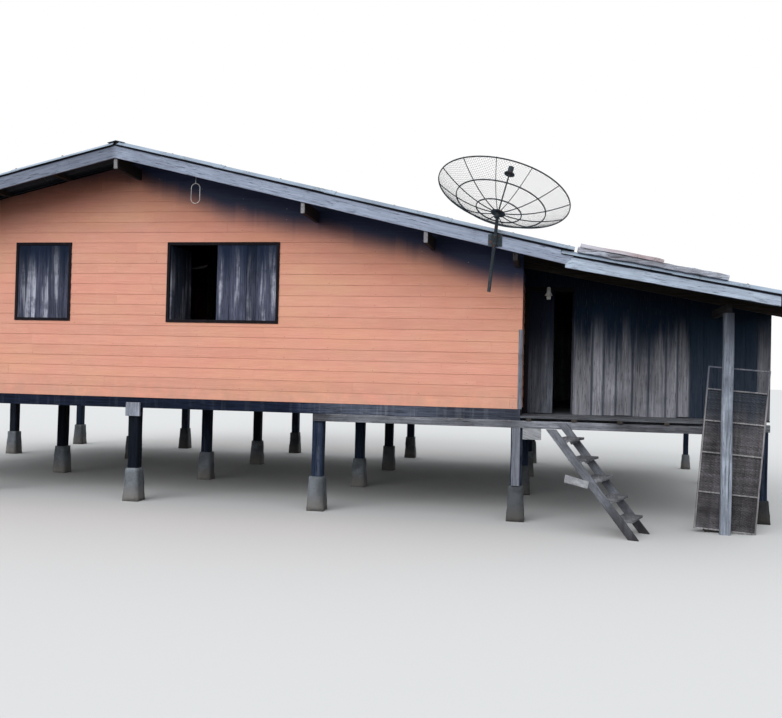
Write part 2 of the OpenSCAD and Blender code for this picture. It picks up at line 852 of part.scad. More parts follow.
// Places its children in the frame of the leaning screen, standing on its right corner
module at_screen() {
    translate([deck_end_x - screen_back, 0, screen_w * sin(screen_lean)])
        rotate([0, screen_lean, 0]) children();
}

module screen_mat() {
    color(wood_brown) at_screen() across(batten_y, screen_y) panel(0, screen_w, 0, mat_h);
}

module screen_battens() {
    rail_zs = [0, 450, 940, 1330, 1720, screen_h - batten_w];
    color(wood_pale) at_screen() across(batten_y - batten_t, batten_y) union() {
        for (x = [0, screen_w - batten_w]) panel(x, x + batten_w, 0, screen_h);
        for (z = rail_zs) panel(0, screen_w, z, z + batten_w);
    }
}

// Places its children in the frame of the dish, its axis along +Z
module at_dish() {
    translate([dish_x, mast_y, dish_z]) rotate([0, dish_tilt, dish_turn]) children();
}

// Places its children on the mast's axis, h above its bracket
module on_mast(h) {
    translate([bracket_x, mast_y, bracket_z]) rotate([0, mast_lean, 0]) translate([0, 0, h]) children();
}

module dish_mast() {
    boss = 45;
    color(steel_dark) {
        on_mast(-mast_drop / cos(mast_lean))
            cylinder(h = (mast_drop + mast_rise) / cos(mast_lean) - boss, d = mast_d, $fn = 32);
        at_dish() translate([0, 0, -boss - 15]) cylinder(h = boss + 15, d = mast_d + 24, $fn = 32);
    }
}

// Plate on the barge board with an upright web on it, and two rings round the mast
module mast_clamps() {
    w = 170;
    h = 150;
    web = 30;
    ring_h = 22;
    color(steel_dark) {
        block([bracket_x - w / 2, -gable_over - bracket_t, bracket_z - h / 2],
            [bracket_x + w / 2, -gable_over, bracket_z + h / 2]);
        block([bracket_x - web / 2, -gable_over - bracket_out, bracket_z - h / 2],
            [bracket_x + web / 2, -gable_over, bracket_z + h / 2]);
        for (z = [-60, 40]) on_mast(z) difference() {
            cylinder(h = ring_h, d = mast_d + 14, $fn = 32);
            translate([0, 0, -1]) cylinder(h = ring_h + 2, d = mast_d, $fn = 32);
        }
    }
}

// Radial ribs on a parabola, tied by rings, the last one the rim
module dish_frame() {
    rim_r = dish_d / 2;
    rib_h = 12;
    rib_w = 6;
    steps = 8;
    rs = [for (i = [0:steps]) hub_r - 30 + i * (rim_r - 4 - hub_r + 30) / steps];
    color(steel_dark) at_dish() {
        cylinder(r = hub_r, h = hub_t, $fn = 48);
        for (i = [0:dish_ribs - 1]) rotate([0, 0, i * 360 / dish_ribs]) across(-rib_w / 2, rib_w / 2)
            polygon(concat(
                [for (r = rs) [r, dish_at(r)]],
                [for (i = [steps:-1:0]) [rs[i], dish_at(rs[i]) + rib_h]]
            ));
        for (r = [rim_r / 3, 2 * rim_r / 3, rim_r - rib_h])
            rotate_extrude($fn = 96) translate([r, dish_at(r) - 1]) square(rib_h);
    }
}

module dish_feed() {
    color(steel_dark) at_dish() {
        translate([0, 0, hub_t]) cylinder(h = dish_focus - hub_t, d = 18, $fn = 24);
        translate([0, 0, dish_focus - 80]) cylinder(h = 8, d = 130, $fn = 48);
        translate([0, 0, dish_focus - 80]) cylinder(h = 100, d = 70, $fn = 48);
    }
}

// Lamp on a short arm over the doorway
module wall_lamp() {
    x = door_x0 + 260;
    z = door_top_z + jamb_w / 2;
    arm = 80;
    r = lamp_d / 2;
    color("white") translate([x, porch_depth - 10 - arm, z]) {
        rotate_extrude($fn = 48) polygon([
            [0, -150], [26, -150], [32, -120], [24, -95], [24, -60], [r - 4, -100], [r, -96],
            [28, -45], [26, 10], [14, 24], [0, 24]
        ]);
        rotate([-90, 0, 0]) cylinder(h = arm, d = 18, $fn = 24);
    }
}

// Loop of stiff wire hanging from a purlin in the front overhang
module wire_loop() {
    wire = 6;
    w = 60;
    x = purlin_x0 + (purlin_x1 - purlin_x0) / (purlins_n - 1);
    z = rafter_top(x + wire / 2);
    drop = 190;
    color(wood_pale) translate([x, -gable_over + 150, z]) {
        translate([0, 0, -drop]) cylinder(h = drop, d = wire, $fn = 16);
        translate([0, 0, -drop - w]) rotate([90, 0, 0]) loop_arc(w, wire, 0);
        translate([0, 0, -drop - loop_len + w]) rotate([90, 0, 0]) loop_arc(w, wire, 180);
        for (s = [-1, 1])
            translate([s * w, 0, -drop - loop_len + w]) cylinder(h = loop_len - 2 * w, d = wire, $fn = 16);
    }
}

module loop_arc(r, wire, turn) {
    rotate([0, 0, turn]) rotate_extrude(angle = 180, $fn = 48) translate([r, 0]) circle(d = wire, $fn = 16);
}

footings();
floor_posts();
porch_post();
pale_strips();
floor_beams();
side_beams();
low_beam();
lean_beams();
floor_joists();
main_floor();
lean_floor();
front_wall();
rear_wall();
side_walls();
porch_wall();
door_head_wall();
lean_side_wall();
lean_rear_wall();
window_frames();
shutters();
door_frame();
door_leaves();
columns();
collar_ties();
wall_plates();
long_beams();
rafters();
lean_rafters();
purlins();
barge_boards();
lean_barge_boards();
main_roof();
lean_roof();
ridge_cap();
old_timbers();
loose_sheet();
stair_stringers();
stair_treads();
stair_cleats();
screen_mat();
screen_battens();
dish_mast();
mast_clamps();
dish_frame();
dish_feed();
wall_lamp();
wire_loop();
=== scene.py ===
# Looks of a timber house on posts: one gabled hall with its gable towards the front, and a lean-to
# with a recessed porch on the right-hand side. Metres; +X along the gable, +Y into the depth, +Z up.
import math
import random

import bmesh
import bpy
from mathutils import Euler, Matrix, Vector, noise


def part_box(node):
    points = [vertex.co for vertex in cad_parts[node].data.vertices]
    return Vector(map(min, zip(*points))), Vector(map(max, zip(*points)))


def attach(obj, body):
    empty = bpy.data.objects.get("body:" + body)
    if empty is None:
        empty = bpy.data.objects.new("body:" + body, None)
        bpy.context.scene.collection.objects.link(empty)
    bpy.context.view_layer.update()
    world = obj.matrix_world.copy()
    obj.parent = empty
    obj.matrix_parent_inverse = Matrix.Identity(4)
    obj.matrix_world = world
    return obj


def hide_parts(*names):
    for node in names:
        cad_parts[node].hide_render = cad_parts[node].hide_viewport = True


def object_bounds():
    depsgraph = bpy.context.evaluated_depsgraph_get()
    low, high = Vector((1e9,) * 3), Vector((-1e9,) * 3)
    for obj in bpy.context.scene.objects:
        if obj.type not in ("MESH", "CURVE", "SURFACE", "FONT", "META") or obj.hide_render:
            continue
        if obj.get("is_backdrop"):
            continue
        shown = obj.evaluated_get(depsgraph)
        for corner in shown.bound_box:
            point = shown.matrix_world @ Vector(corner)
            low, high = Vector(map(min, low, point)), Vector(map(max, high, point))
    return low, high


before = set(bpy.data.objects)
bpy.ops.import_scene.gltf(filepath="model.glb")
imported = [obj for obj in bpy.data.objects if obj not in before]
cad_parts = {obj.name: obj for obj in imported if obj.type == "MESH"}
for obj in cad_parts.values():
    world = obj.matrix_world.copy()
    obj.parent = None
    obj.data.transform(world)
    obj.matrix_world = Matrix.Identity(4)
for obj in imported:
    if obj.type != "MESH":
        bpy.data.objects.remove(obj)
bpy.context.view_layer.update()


# ---- Footings ----
# Short concrete stubs under every post. They were cast by hand in rough boxes of boards, so their
# sides are uneven and pitted, and soil has splashed up and stained them near the ground.

def add(tree, kind, sockets={}, **settings):
    """Adds a node. An input is linked where its value is another node's output, and else set."""
    made = tree.nodes.new(kind)
    for name, value in settings.items():
        setattr(made, name, value)
    for name, value in sockets.items():
        if isinstance(value, bpy.types.NodeSocket):
            tree.links.new(value, made.inputs[name])
        else:
            made.inputs[name].default_value = value
    return made


def calc(operation, a, b=0.0):
    tree = (a if isinstance(a, bpy.types.NodeSocket) else b).id_data
    return add(tree, "ShaderNodeMath", {0: a, 1: b}, operation=operation).outputs[0]


def times(a, b):
    return calc("MULTIPLY", a, b)


def blend(mask, a, b):
    """Colour a where the mask is 0, and b where it is 1."""
    a, b = ((*colour, 1) if isinstance(colour, tuple) else colour for colour in (a, b))
    return add(mask.id_data, "ShaderNodeMix", {0: mask, 6: a, 7: b}, data_type="RGBA").outputs[2]


def step(value, low, high, out_low=0.0, out_high=1.0):
    """A smooth step from out_low to out_high as value goes from low to high."""
    return add(value.id_data, "ShaderNodeMapRange", {"Value": value, "From Min": low, "From Max": high,
        "To Min": out_low, "To Max": out_high}, interpolation_type="SMOOTHSTEP").outputs["Result"]


def split(vector):
    return add(vector.id_data, "ShaderNodeSeparateXYZ", {0: vector}).outputs


def speckle(vector, scale, detail, **more):
    return add(vector.id_data, "ShaderNodeTexNoise", {"Vector": vector, "Scale": scale, "Detail": detail,
        **more}).outputs["Fac"]


def revalue(colour, value, saturation=1.0):
    return add(colour.id_data, "ShaderNodeHueSaturation", {"Value": value, "Saturation": saturation,
        "Color": colour}).outputs["Color"]


def own_shade(tree):
    """The shade that each board or timber got, between 0 and 1."""
    return add(tree, "ShaderNodeAttribute", attribute_name="shade").outputs["Fac"]


def toned(colour, span, base):
    """The colour with each board's own tone, from base up to base + span."""
    return revalue(colour, calc("ADD", times(own_shade(colour.id_data), span), base))


def new_group(name, inputs, outputs):
    """An empty shader node group: its tree, its inputs and its outputs, by name."""
    tree = bpy.data.node_groups.new(name, "ShaderNodeTree")
    for label, kind, value in inputs:
        socket = tree.interface.new_socket(label, in_out="INPUT", socket_type="NodeSocket" + kind)
        socket.default_value = value
    for label in outputs:
        tree.interface.new_socket(label, in_out="OUTPUT", socket_type="NodeSocketFloat")
    return tree, tree.nodes.new("NodeGroupInput").outputs, tree.nodes.new("NodeGroupOutput").inputs


patches, given, out = new_group("Patches", [("Vector", "Vector", (0, 0, 0)), ("Scale", "Float", 2.0),
    ("Threshold", "Float", 0.5), ("Softness", "Float", 0.08)], ["Mask"])
cloud = speckle(given["Vector"], given["Scale"], 6.0, Roughness=0.62)
patches.links.new(step(cloud, calc("SUBTRACT", given["Threshold"], given["Softness"]),
    calc("ADD", given["Threshold"], given["Softness"])), out["Mask"])


def use(tree, group, **sockets):
    """Places a shader node group in a material and gives its outputs."""
    return add(tree, "ShaderNodeGroup", sockets, node_tree=group).outputs


def patchy(place, scale, threshold, softness):
    return use(place.id_data, patches, Vector=place, Scale=scale, Threshold=threshold,
        Softness=softness)["Mask"]


def new_material(name, roughness, metallic=0.0):
    """A material: its tree, its shader's inputs and the piece's own coordinates."""
    material = bpy.data.materials.new(name)
    material.use_nodes = True
    tree = material.node_tree
    shader = tree.nodes["Principled BSDF"].inputs
    shader["Roughness"].default_value = roughness
    shader["Metallic"].default_value = metallic
    return material, tree, shader, add(tree, "ShaderNodeTexCoord").outputs["Object"]


def paint(shader, colour):
    colour.id_data.links.new(colour, shader["Base Color"])


def emboss(shader, height, distance):
    bump = add(height.id_data, "ShaderNodeBump", {"Height": height, "Distance": distance})
    height.id_data.links.new(bump.outputs["Normal"], shader["Normal"])


def merged(node):
    """A copy of a CAD node's mesh with its triangles joined into flat faces."""
    bm = bmesh.new()
    bm.from_mesh(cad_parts[node].data)
    bmesh.ops.remove_doubles(bm, verts=bm.verts, dist=1e-5)
    bmesh.ops.dissolve_limit(bm, angle_limit=0.005, verts=bm.verts, edges=bm.edges)
    return bm


def new_piece(name, bm, material=None, sharp=None):
    """The mesh as an object. With sharp it is smooth, but for edges of more degrees than that."""
    mesh = bpy.data.meshes.new(name)
    bm.to_mesh(mesh)
    bm.free()
    piece = bpy.data.objects.new(name, mesh)
    bpy.context.collection.objects.link(piece)
    if material:
        mesh.materials.append(material)
    if sharp:
        mesh.shade_smooth()
        mesh.set_sharp_from_angle(angle=math.radians(sharp))
    return piece


def keep(piece, slot, *nodes):
    """The piece rides on the house and stands for the nodes, which it hides. The slot is not used."""
    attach(piece, "root")
    if nodes:
        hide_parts(*nodes)


def cut_up(bm, steps):
    """Cuts a mesh across each axis at the given steps, so that it can bend; 0 makes no cuts."""
    for axis in range(3):
        if not steps[axis]:
            continue
        places = [v.co[axis] for v in bm.verts]
        at = min(places) + steps[axis]
        while at < max(places) - 1e-4:
            plane = Vector((0, 0, 0))
            plane[axis] = 1
            bmesh.ops.bisect_plane(bm, geom=bm.verts[:] + bm.edges[:] + bm.faces[:], dist=1e-6,
                plane_co=plane * at, plane_no=plane)
            at += steps[axis]


noise.seed_set(4)


def wobble(bm, depth, size, keep_low=None):
    """Moves each vertex a little, as uneven as hand work; those below keep_low stay where they are."""
    for v in bm.verts:
        if keep_low is None or v.co.z > keep_low:
            v.co += depth * noise.noise_vector(v.co / size)


def tell_apart(bm, seed):
    """Gives the faces of each separate timber one "shade" between 0 and 1."""
    layer = bm.faces.layers.float.new("shade")
    rng = random.Random(seed)
    bm.faces.ensure_lookup_table()
    done = set()
    for first in bm.faces:
        if first in done:
            continue
        shade, reached = rng.random(), [first]
        done.add(first)
        while reached:
            face = reached.pop()
            face[layer] = shade
            for near in [f for e in face.edges for f in e.link_faces if f not in done]:
                done.add(near)
                reached.append(near)


concrete, tree, shader, place = new_material("Cast concrete", 0.95)
pits = speckle(place, 60.0, 8.0)
splash = times(step(split(place)["Z"], 0.30, 0.02), step(pits, 0.35, 0.6, 0.5, 1.0))
colour = blend(patchy(place, 3.0, 0.5, 0.12), (0.125, 0.138, 0.155), (0.060, 0.067, 0.075))
colour = blend(step(pits, 0.62, 0.72), colour, (0.05, 0.05, 0.05))
colour = blend(splash, colour, (0.13, 0.12, 0.11))
paint(shader, toned(colour, 1.3, 0.35))
emboss(shader, pits, 0.008)

bm = merged("footings")
tell_apart(bm, 15)
cut_up(bm, (0, 0, 0.06))
bmesh.ops.triangulate(bm, faces=[f for f in bm.faces if len(f.verts) > 4])
bmesh.ops.subdivide_edges(bm, edges=[e for e in bm.edges if e.calc_length() > 0.12], cuts=2,
    use_grid_fill=True)
wobble(bm, depth=0.009, size=0.11, keep_low=0.005)
footings = new_piece("cast_footings", bm, concrete)
footings.data.set_sharp_from_angle(angle=math.radians(50))
keep(footings, "concrete", "footings")


# ---- Posts under the floor, the porch post and the pale pieces on the posts ----
# Square posts of hardwood, hewn with their edges taken off, stand on the footings and carry the
# floor. The porch post and the nailed-on pieces are newer sawn wood, bleached by sun and rain.

def stretch(vector, factors):
    return add(vector.id_data, "ShaderNodeVectorMath", {0: vector, 1: factors},
        operation="MULTIPLY").outputs[0]


sawn, given, out = new_group("Sawn wood", [("Vector", "Vector", (0, 0, 0)), ("Run", "Vector", (1, 1, 1)),
    ("Board", "Float", 0.0)], ["Fibre", "Crack", "Knot", "Height"])
along = add(sawn, "ShaderNodeVectorMath", {0: stretch(given["Vector"], given["Run"]),
    1: stretch(given["Board"], (37.0, 91.0, 53.0))}, operation="ADD").outputs[0]
fibre = speckle(along, 5.0, 7.0, Roughness=0.7, Distortion=0.35)
lines = speckle(along, 19.0, 3.0)
spots = add(sawn, "ShaderNodeTexVoronoi", {"Vector": stretch(along, (1.0, 0.5, 0.5)), "Scale": 1.1},
    feature="F1").outputs["Distance"]
fibre, crack, knot = step(fibre, 0.3, 0.7), step(lines, 0.62, 0.68), step(spots, 0.10, 0.045)
for label, mask in (("Fibre", fibre), ("Crack", crack), ("Knot", knot),
        ("Height", calc("SUBTRACT", fibre, calc("ADD", crack, knot)))):
    sawn.links.new(mask, out[label])

rain, given, out = new_group("Rain streaks", [("Vector", "Vector", (0, 0, 0)), ("Width", "Float", 1.0),
    ("Threshold", "Float", 0.55)], ["Mask"])
runs = speckle(stretch(given["Vector"], (1.0, 1.0, 0.055)), calc("DIVIDE", 13.0, given["Width"]), 5.0,
    Roughness=0.6)
rain.links.new(step(runs, given["Threshold"], calc("ADD", given["Threshold"], 0.14)), out["Mask"])

# The grain is drawn out along the axis that the wood runs along.
RUNS = {"x": (0.35, 9.0, 9.0), "y": (9.0, 0.35, 9.0), "z": (9.0, 9.0, 0.35)}


def partly(mask, share, colour, tint):
    """The colour, with a share of the tint where the mask is 1."""
    return blend(times(mask, share), colour, tint)


def streaky(place, width, threshold):
    return use(place.id_data, rain, Vector=place, Width=width, Threshold=threshold)["Mask"]


def fallen(place, crest, angle):
    """The coordinates with Z measured from a line that falls at the angle to both sides of x = crest."""
    spot = split(place)
    off = calc("ABSOLUTE", calc("SUBTRACT", spot["X"], crest))
    level = calc("ADD", spot["Z"], times(off, math.tan(math.radians(angle))))
    return add(place.id_data, "ShaderNodeCombineXYZ", {"X": spot["X"], "Y": spot["Y"], "Z": level}).outputs[0]


def wood(name, light, dark, run, tone=0.12, streak=0.0, stain=0.3, relief=0.004, dark_band=None, slope=None,
        over=None):
    """Bare wood with its grain along one axis: light and dark fibres, cracks, knots, stains and
    pale rain streaks. Each board has its own tone, from its "shade". With a band of (low, high,
    colour) it passes to that colour between the heights low and high: painted shade under a roof,
    in places also wood that the rain has not bleached; with low above high it darkens downwards.
    With slope = (x, degrees) the grain falls at that angle to both sides of x. The colour passes
    through over(place, colour) last."""
    material, tree, shader, place = new_material(name, 0.85)
    shader["Specular IOR Level"].default_value = 0.12
    along = fallen(place, *slope) if slope else place
    grain = use(tree, sawn, Vector=along, Run=RUNS[run], Board=own_shade(tree))
    colour = blend(grain["Fibre"], dark, light)
    colour = partly(patchy(place, 1.6, 0.52, 0.14), stain, colour, tuple(0.45 * c for c in dark))
    if streak:
        wet = times(streaky(place, 1.3, 0.5), step(patchy(place, 3.6, 0.47, 0.12), 0.0, 1.0, 0.25, 1.0))
        bleached = tuple(0.12 + 0.13 * streak ** 3 + 1.5 * c for c in light)
        colour = partly(wet, streak, colour, bleached)
    # The band is painted shade where it darkens towards a roof.
    if dark_band:
        low, high, band_colour = dark_band
        ragged = times(streaky(place, 2.2, 0.42), 0.28 * (high - low))
        height = calc("SUBTRACT", split(place)["Z"], ragged)
        colour = blend(step(height, low, high), colour, band_colour)
    colour = blend(calc("MAXIMUM", grain["Crack"], grain["Knot"]), colour, tuple(0.35 * c for c in dark))
    colour = toned(colour, 2 * tone, 1 - tone)
    if over:
        colour = over(place, colour)
    paint(shader, colour)
    emboss(shader, grain["Height"], relief)
    return material


def hewn(name, node, slot, material, steps, depth=0.004, edge=0.004, size=0.5, seed=5):
    """A CAD node's timbers with their edges worn off and their faces slightly uneven."""
    bm = merged(node)
    tell_apart(bm, seed)
    if edge:
        sharp = [e for e in bm.edges if len(e.link_faces) == 2 and e.calc_face_angle() > 0.6]
        bmesh.ops.bevel(bm, geom=sharp, offset=edge, segments=1, affect="EDGES", clamp_overlap=True)
    cut_up(bm, steps)
    wobble(bm, depth, size, 0.01)
    keep(new_piece(name, bm, material), slot, node)


dark_post = wood("Dark hewn post", (0.020, 0.030, 0.055), (0.005, 0.010, 0.022), "z", tone=0.7, streak=0.2)
# The porch post darkens towards its top: painted shade under the lean-to roof.
pale_post = wood("Pale post", (0.46, 0.51, 0.60), (0.20, 0.225, 0.28), "z", streak=0.45, stain=0.6,
    dark_band=(1.55, 2.80, (0.06, 0.065, 0.085)))
pale_strip = wood("Pale nailed board", (0.38, 0.405, 0.48), (0.17, 0.185, 0.225), "z", tone=0.32, stain=0.45)
hewn("hewn_floor_posts", "floor_posts", "dark_timber", dark_post, (0, 0, 0.2), depth=0.006, edge=0,
    size=0.35, seed=195)
hewn("sawn_porch_post", "porch_post", "pale_timber", pale_post, (0, 0, 0.25), depth=0.006, edge=0, size=0.6)
hewn("nailed_strips", "pale_strips", "pale_timber", pale_strip, (0, 0, 0.15), depth=0.002, edge=0.003,
    seed=981)


# ---- Beams and joists of the floor ----
# Heavy beams of dark, oiled hardwood lie on the posts; the one under the gable shows along the whole
# front. A thinner grey beam is spiked to the faces of the posts below it and carries the porch.

def summed(value, spot, changes):
    """The value plus a step at spot for each change = (start, end, before, after)."""
    for change in changes:
        value = calc("ADD", value, step(spot, *change))
    return value


def changed_along_x(fade, *changes):
    """Changes a beam's value along X: the changes sum up to it, and its colour fades at the first."""
    def over(place, colour):
        spot = split(place)["X"]
        start, end = changes[0][:2]
        return revalue(colour, summed(0.0, spot, changes), step(spot, start, end, 1.0, fade))
    return over


# The right half of the beam under the gable has weathered grey. The low beam is lighter from X 5.2
# to 6.3, beside the stair, and darker past that, at its hidden end.
dark_beam_x = wood("Dark beam across", (0.012, 0.019, 0.042), (0.003, 0.006, 0.016), "x", streak=0.10,
    over=changed_along_x(0.5, (2.2, 2.9, 1.0, 4.4), (3.8, 4.6, 0.0, -1.8)))
low_grey = wood("Grey low beam", (0.28, 0.288, 0.328), (0.115, 0.118, 0.136), "x", stain=0.6,
    over=changed_along_x(1.0, (2.7, 3.0, 0.5, 0.97), (5.2, 5.5, 0.0, 0.53), (6.3, 6.6, 0.0, -0.9)))
dark_beam_y = wood("Dark beam lengthwise", (0.045, 0.042, 0.050), (0.012, 0.011, 0.015), "y")
grey_beam_x = wood("Grey beam across", (0.27, 0.295, 0.325), (0.11, 0.12, 0.135), "x", stain=0.6)
# The joists are coloured darker than the floor boards: painted shade under the floor.
brown_y = wood("Dry wood lengthwise", (0.085, 0.073, 0.066), (0.038, 0.033, 0.030), "y")
hewn("gable_floor_beams", "floor_beams", "dark_timber", dark_beam_x, (0.5, 0, 0), depth=0.003, edge=0.004)
hewn("side_floor_beams", "side_beams", "dark_timber", dark_beam_y, (0, 0.5, 0), depth=0.003, edge=0.004)
hewn("grey_low_beam", "low_beam", "pale_timber", low_grey, (0.3, 0, 0), depth=0.004, edge=0.003)
hewn("lean_to_beams", "lean_beams", "grey_timber", grey_beam_x, (0.4, 0, 0), depth=0.003, edge=0.003)
hewn("floor_joist_rows", "floor_joists", "brown_timber", brown_y, (0, 0.7, 0), depth=0.002, edge=0)


# ---- Floors ----
# Planks nailed across the joists, laid with open gaps that have grown as the wood dried. The porch
# boards are grey from rain and stand out past the low beam.

def new_tree(name, inputs):
    """An empty geometry tree that also takes a turn and a material: the tree, its inputs by name and
    its output."""
    tree = bpy.data.node_groups.new(name, "GeometryNodeTree")
    for label, kind in (("Geometry", "Geometry"), *inputs, ("Turn", "Rotation"), ("Material", "Material")):
        tree.interface.new_socket(label, in_out="INPUT", socket_type="NodeSocket" + kind)
    tree.interface.new_socket("Geometry", in_out="OUTPUT", socket_type="NodeSocketGeometry")
    return tree, tree.nodes.new("NodeGroupInput").outputs, tree.nodes.new("NodeGroupOutput").inputs[0]


def geo(tree, kind, sockets={}, **settings):
    return add(tree, "GeometryNode" + kind, sockets, **settings).outputs[0]


def named(tree, name, kind="FLOAT"):
    return geo(tree, "InputNamedAttribute", {"Name": name}, data_type=kind)


def vector(tree, x=0.0, y=0.0, z=0.0):
    return add(tree, "ShaderNodeCombineXYZ", {"X": x, "Y": y, "Z": z}).outputs[0]


def on_points(given, instance, **sockets):
    """The instance at every point that the tree is given, as one mesh."""
    laid = geo(instance.id_data, "InstanceOnPoints", {"Points": given["Geometry"], "Instance": instance,
        **sockets})
    return geo(instance.id_data, "RealizeInstances", {"Geometry": laid})


def shaded(geometry):
    """The tone of each point, stored on the faces of its instance as their shade."""
    return geo(geometry.id_data, "StoreNamedAttribute", {"Geometry": geometry, "Name": "shade",
        "Value": named(geometry.id_data, "tone")}, data_type="FLOAT", domain="FACE")


def put_out(given, out, geometry):
    tree = geometry.id_data
    tree.links.new(geo(tree, "SetMaterial", {"Geometry": geometry, "Material": given["Material"]}), out)


# One board from 0 to 1 along X and Z; its upper front edge lies back by the lap.
boards_tree, given, out = new_tree("Boards on a slab", [("Slab", "Object"), ("Thickness", "Float"),
    ("Lap", "Float")])
tree = boards_tree
box = geo(tree, "MeshCube", {"Size": (1, 1, 1)})
corner = split(geo(tree, "InputPosition"))
upper = calc("GREATER_THAN", corner["Z"])
front = calc("LESS_THAN", corner["Y"])
back = times(calc("SUBTRACT", 1.0, front), given["Thickness"])
lap = times(times(upper, front), given["Lap"])
formed = vector(tree, calc("GREATER_THAN", corner["X"]), calc("ADD", back, lap), upper)
board = geo(tree, "SetPosition", {"Geometry": box, "Position": formed})
laid = shaded(on_points(given, board, Scale=vector(tree, named(tree, "long"), 1.0, named(tree, "wide"))))
laid = geo(tree, "Transform", {"Geometry": laid, "Rotation": given["Turn"]})
slab = add(tree, "GeometryNodeObjectInfo", {"Object": given["Slab"]}).outputs["Geometry"]
sawn_off = add(tree, "GeometryNodeMeshBoolean", {"Mesh 2": laid}, operation="INTERSECT", solver="EXACT")
tree.links.new(slab, sawn_off.inputs["Mesh 2"])
put_out(given, out, sawn_off.outputs["Mesh"])


def point_piece(name, points, **attributes):
    """A mesh of loose points with a value of each attribute at every point."""
    mesh = bpy.data.meshes.new(name)
    mesh.from_pydata(points, [], [])
    for label, values in attributes.items():
        kind, field = ("FLOAT", "value") if isinstance(values[0], float) else ("FLOAT_VECTOR", "vector")
        layer = mesh.attributes.new(label, kind, "POINT")
        for item, value in zip(layer.data, values):
            setattr(item, field, value)
    piece = bpy.data.objects.new(name, mesh)
    bpy.context.collection.objects.link(piece)
    return piece


def grow(piece, tree, slot, *nodes, **values):
    """Runs a geometry tree on the piece and keeps the result as the piece's plain mesh."""
    modifier = piece.modifiers.new(tree.name, "NODES")
    modifier.node_group = tree
    for item in tree.interface.items_tree:
        if item.in_out == "INPUT" and item.name in values:
            modifier[item.identifier] = values[item.name]
    piece.update_tag()
    bpy.context.view_layer.update()
    mesh = bpy.data.meshes.new_from_object(piece.evaluated_get(bpy.context.evaluated_depsgraph_get()))
    piece.modifiers.clear()
    piece.data = mesh
    keep(piece, slot, *nodes)


TURNS = {"front": 0.0, "right": 90.0, "rear": 180.0, "left": -90.0}


def lay_boards(name, node, slot, side, spans, material, thick=0.0246, upright=False, lap=0.0, uneven=0.0,
        seed=1, face=None):
    """Boards cut to a node's slab. Each span is (from, to, low, high) on the slab's outer face: along
    the wall and up it, or for side "top" along X and Y. The boards run upright or along the wall."""
    low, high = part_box(node)
    if side == "top":
        turn = Euler((math.radians(-90), 0, 0))
    else:
        turn = Euler((0, math.radians(-90 if upright else 0), math.radians(TURNS[side])))
    if face is None:
        face = {"front": low.y, "rear": high.y, "left": low.x, "right": high.x, "top": high.z}[side]
    back = turn.to_matrix().inverted()
    rng = random.Random(seed)
    points, long, wide, tone = [], [], [], []
    for u0, u1, w0, w1 in spans:
        ends = [(u, w, face) if side == "top" else (u, face, w) if side in ("front", "rear") else (face, u, w)
            for u, w in ((u0, w0), (u1, w1))]
        a, b = (back @ Vector(p) for p in ends)
        points.append((min(a.x, b.x), a.y + 0.0003 + uneven * rng.random(), min(a.z, b.z)))
        long.append(abs(a.x - b.x))
        wide.append(abs(a.z - b.z))
        tone.append(rng.random())
    slab = new_piece(name + "_slab", merged(node))
    grow(point_piece(name, points, long=long, wide=wide, tone=tone), boards_tree, slot, node, Slab=slab,
        Thickness=thick, Lap=lap, Turn=turn, Material=material)
    bpy.data.objects.remove(slab)


def courses(u0, u1, w0, w1, pitch, longest, gap, seed):
    """Spans of boards in rows, with the butt joints at other places in every row."""
    rng = random.Random(seed)
    spans = []
    w = w0
    while w < w1:
        u = u0 - rng.random() * longest * 0.8
        while u < u1:
            reach = longest * rng.uniform(0.7, 1.0)
            spans.append((max(u, u0 - 0.01), min(u + reach - 0.0012, u1 + 0.01), w, w + pitch - gap))
            u += reach
        w += pitch
    return spans


brown_x = wood("Dry floor boards", (0.17, 0.13, 0.10), (0.08, 0.06, 0.045), "x", tone=0.25)
deck_x = wood("Rain-grey deck boards", (0.22, 0.23, 0.255), (0.09, 0.095, 0.11), "x", tone=0.25, stain=0.6)
for name, node, slot, material, pitch, longest, gap, uneven, seed in (
        ("hall_floor_boards", "main_floor", "brown_timber", brown_x, 0.152, 3.6, 0.004, 0.001, 11),
        ("deck_boards", "lean_floor", "grey_timber", deck_x, 0.137, 3.0, 0.006, 0.002, 12)):
    low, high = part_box(node)
    lay_boards(name, node, slot, "top", courses(low.x, high.x, low.y, high.y, pitch, longest, gap, seed),
        material, 0.0244, uneven=uneven)


# ---- Columns, ties, plates, roof beams, rafters and purlins ----
# The frame inside: sawn columns on the floor, long beams over them that run out under both gables,
# pairs of rafters on the beams and square purlins on the rafters. Dry inside, grey where they stick out.

def finish(material, *nodes):
    """The CAD nodes stay as they are and get the material."""
    for node in nodes:
        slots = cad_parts[node].data.materials
        slots.clear()
        slots.append(material)


def end_faces(place, colour):
    """Only the ends that stick out are weathered; from there on in the beams are painted dark as shade."""
    low, high = (corner.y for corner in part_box("long_beams"))
    off = calc("ABSOLUTE", calc("SUBTRACT", split(place)["Y"], (low + high) / 2))
    inward = calc("SUBTRACT", (high - low) / 2, off)
    return blend(step(inward, 0.004, 0.030), colour, (0.026, 0.023, 0.026))


finish(wood("Dry columns", (0.12, 0.09, 0.07), (0.05, 0.038, 0.030), "z"), "columns")
# The collar ties are near black: painted shade inside the hall.
finish(wood("Ties dark as painted shade", (0.020, 0.018, 0.018), (0.009, 0.008, 0.009), "x"), "collar_ties")
finish(wood("Dry rafters", (0.075, 0.060, 0.050), (0.030, 0.025, 0.022), "x"), "rafters", "lean_rafters")
finish(wood("Purlins", (0.070, 0.062, 0.058), (0.027, 0.024, 0.023), "y"), "purlins")
roof_beam = wood("Roof beams", (0.36, 0.35, 0.37), (0.20, 0.195, 0.205), "y", stain=0.3, over=end_faces)
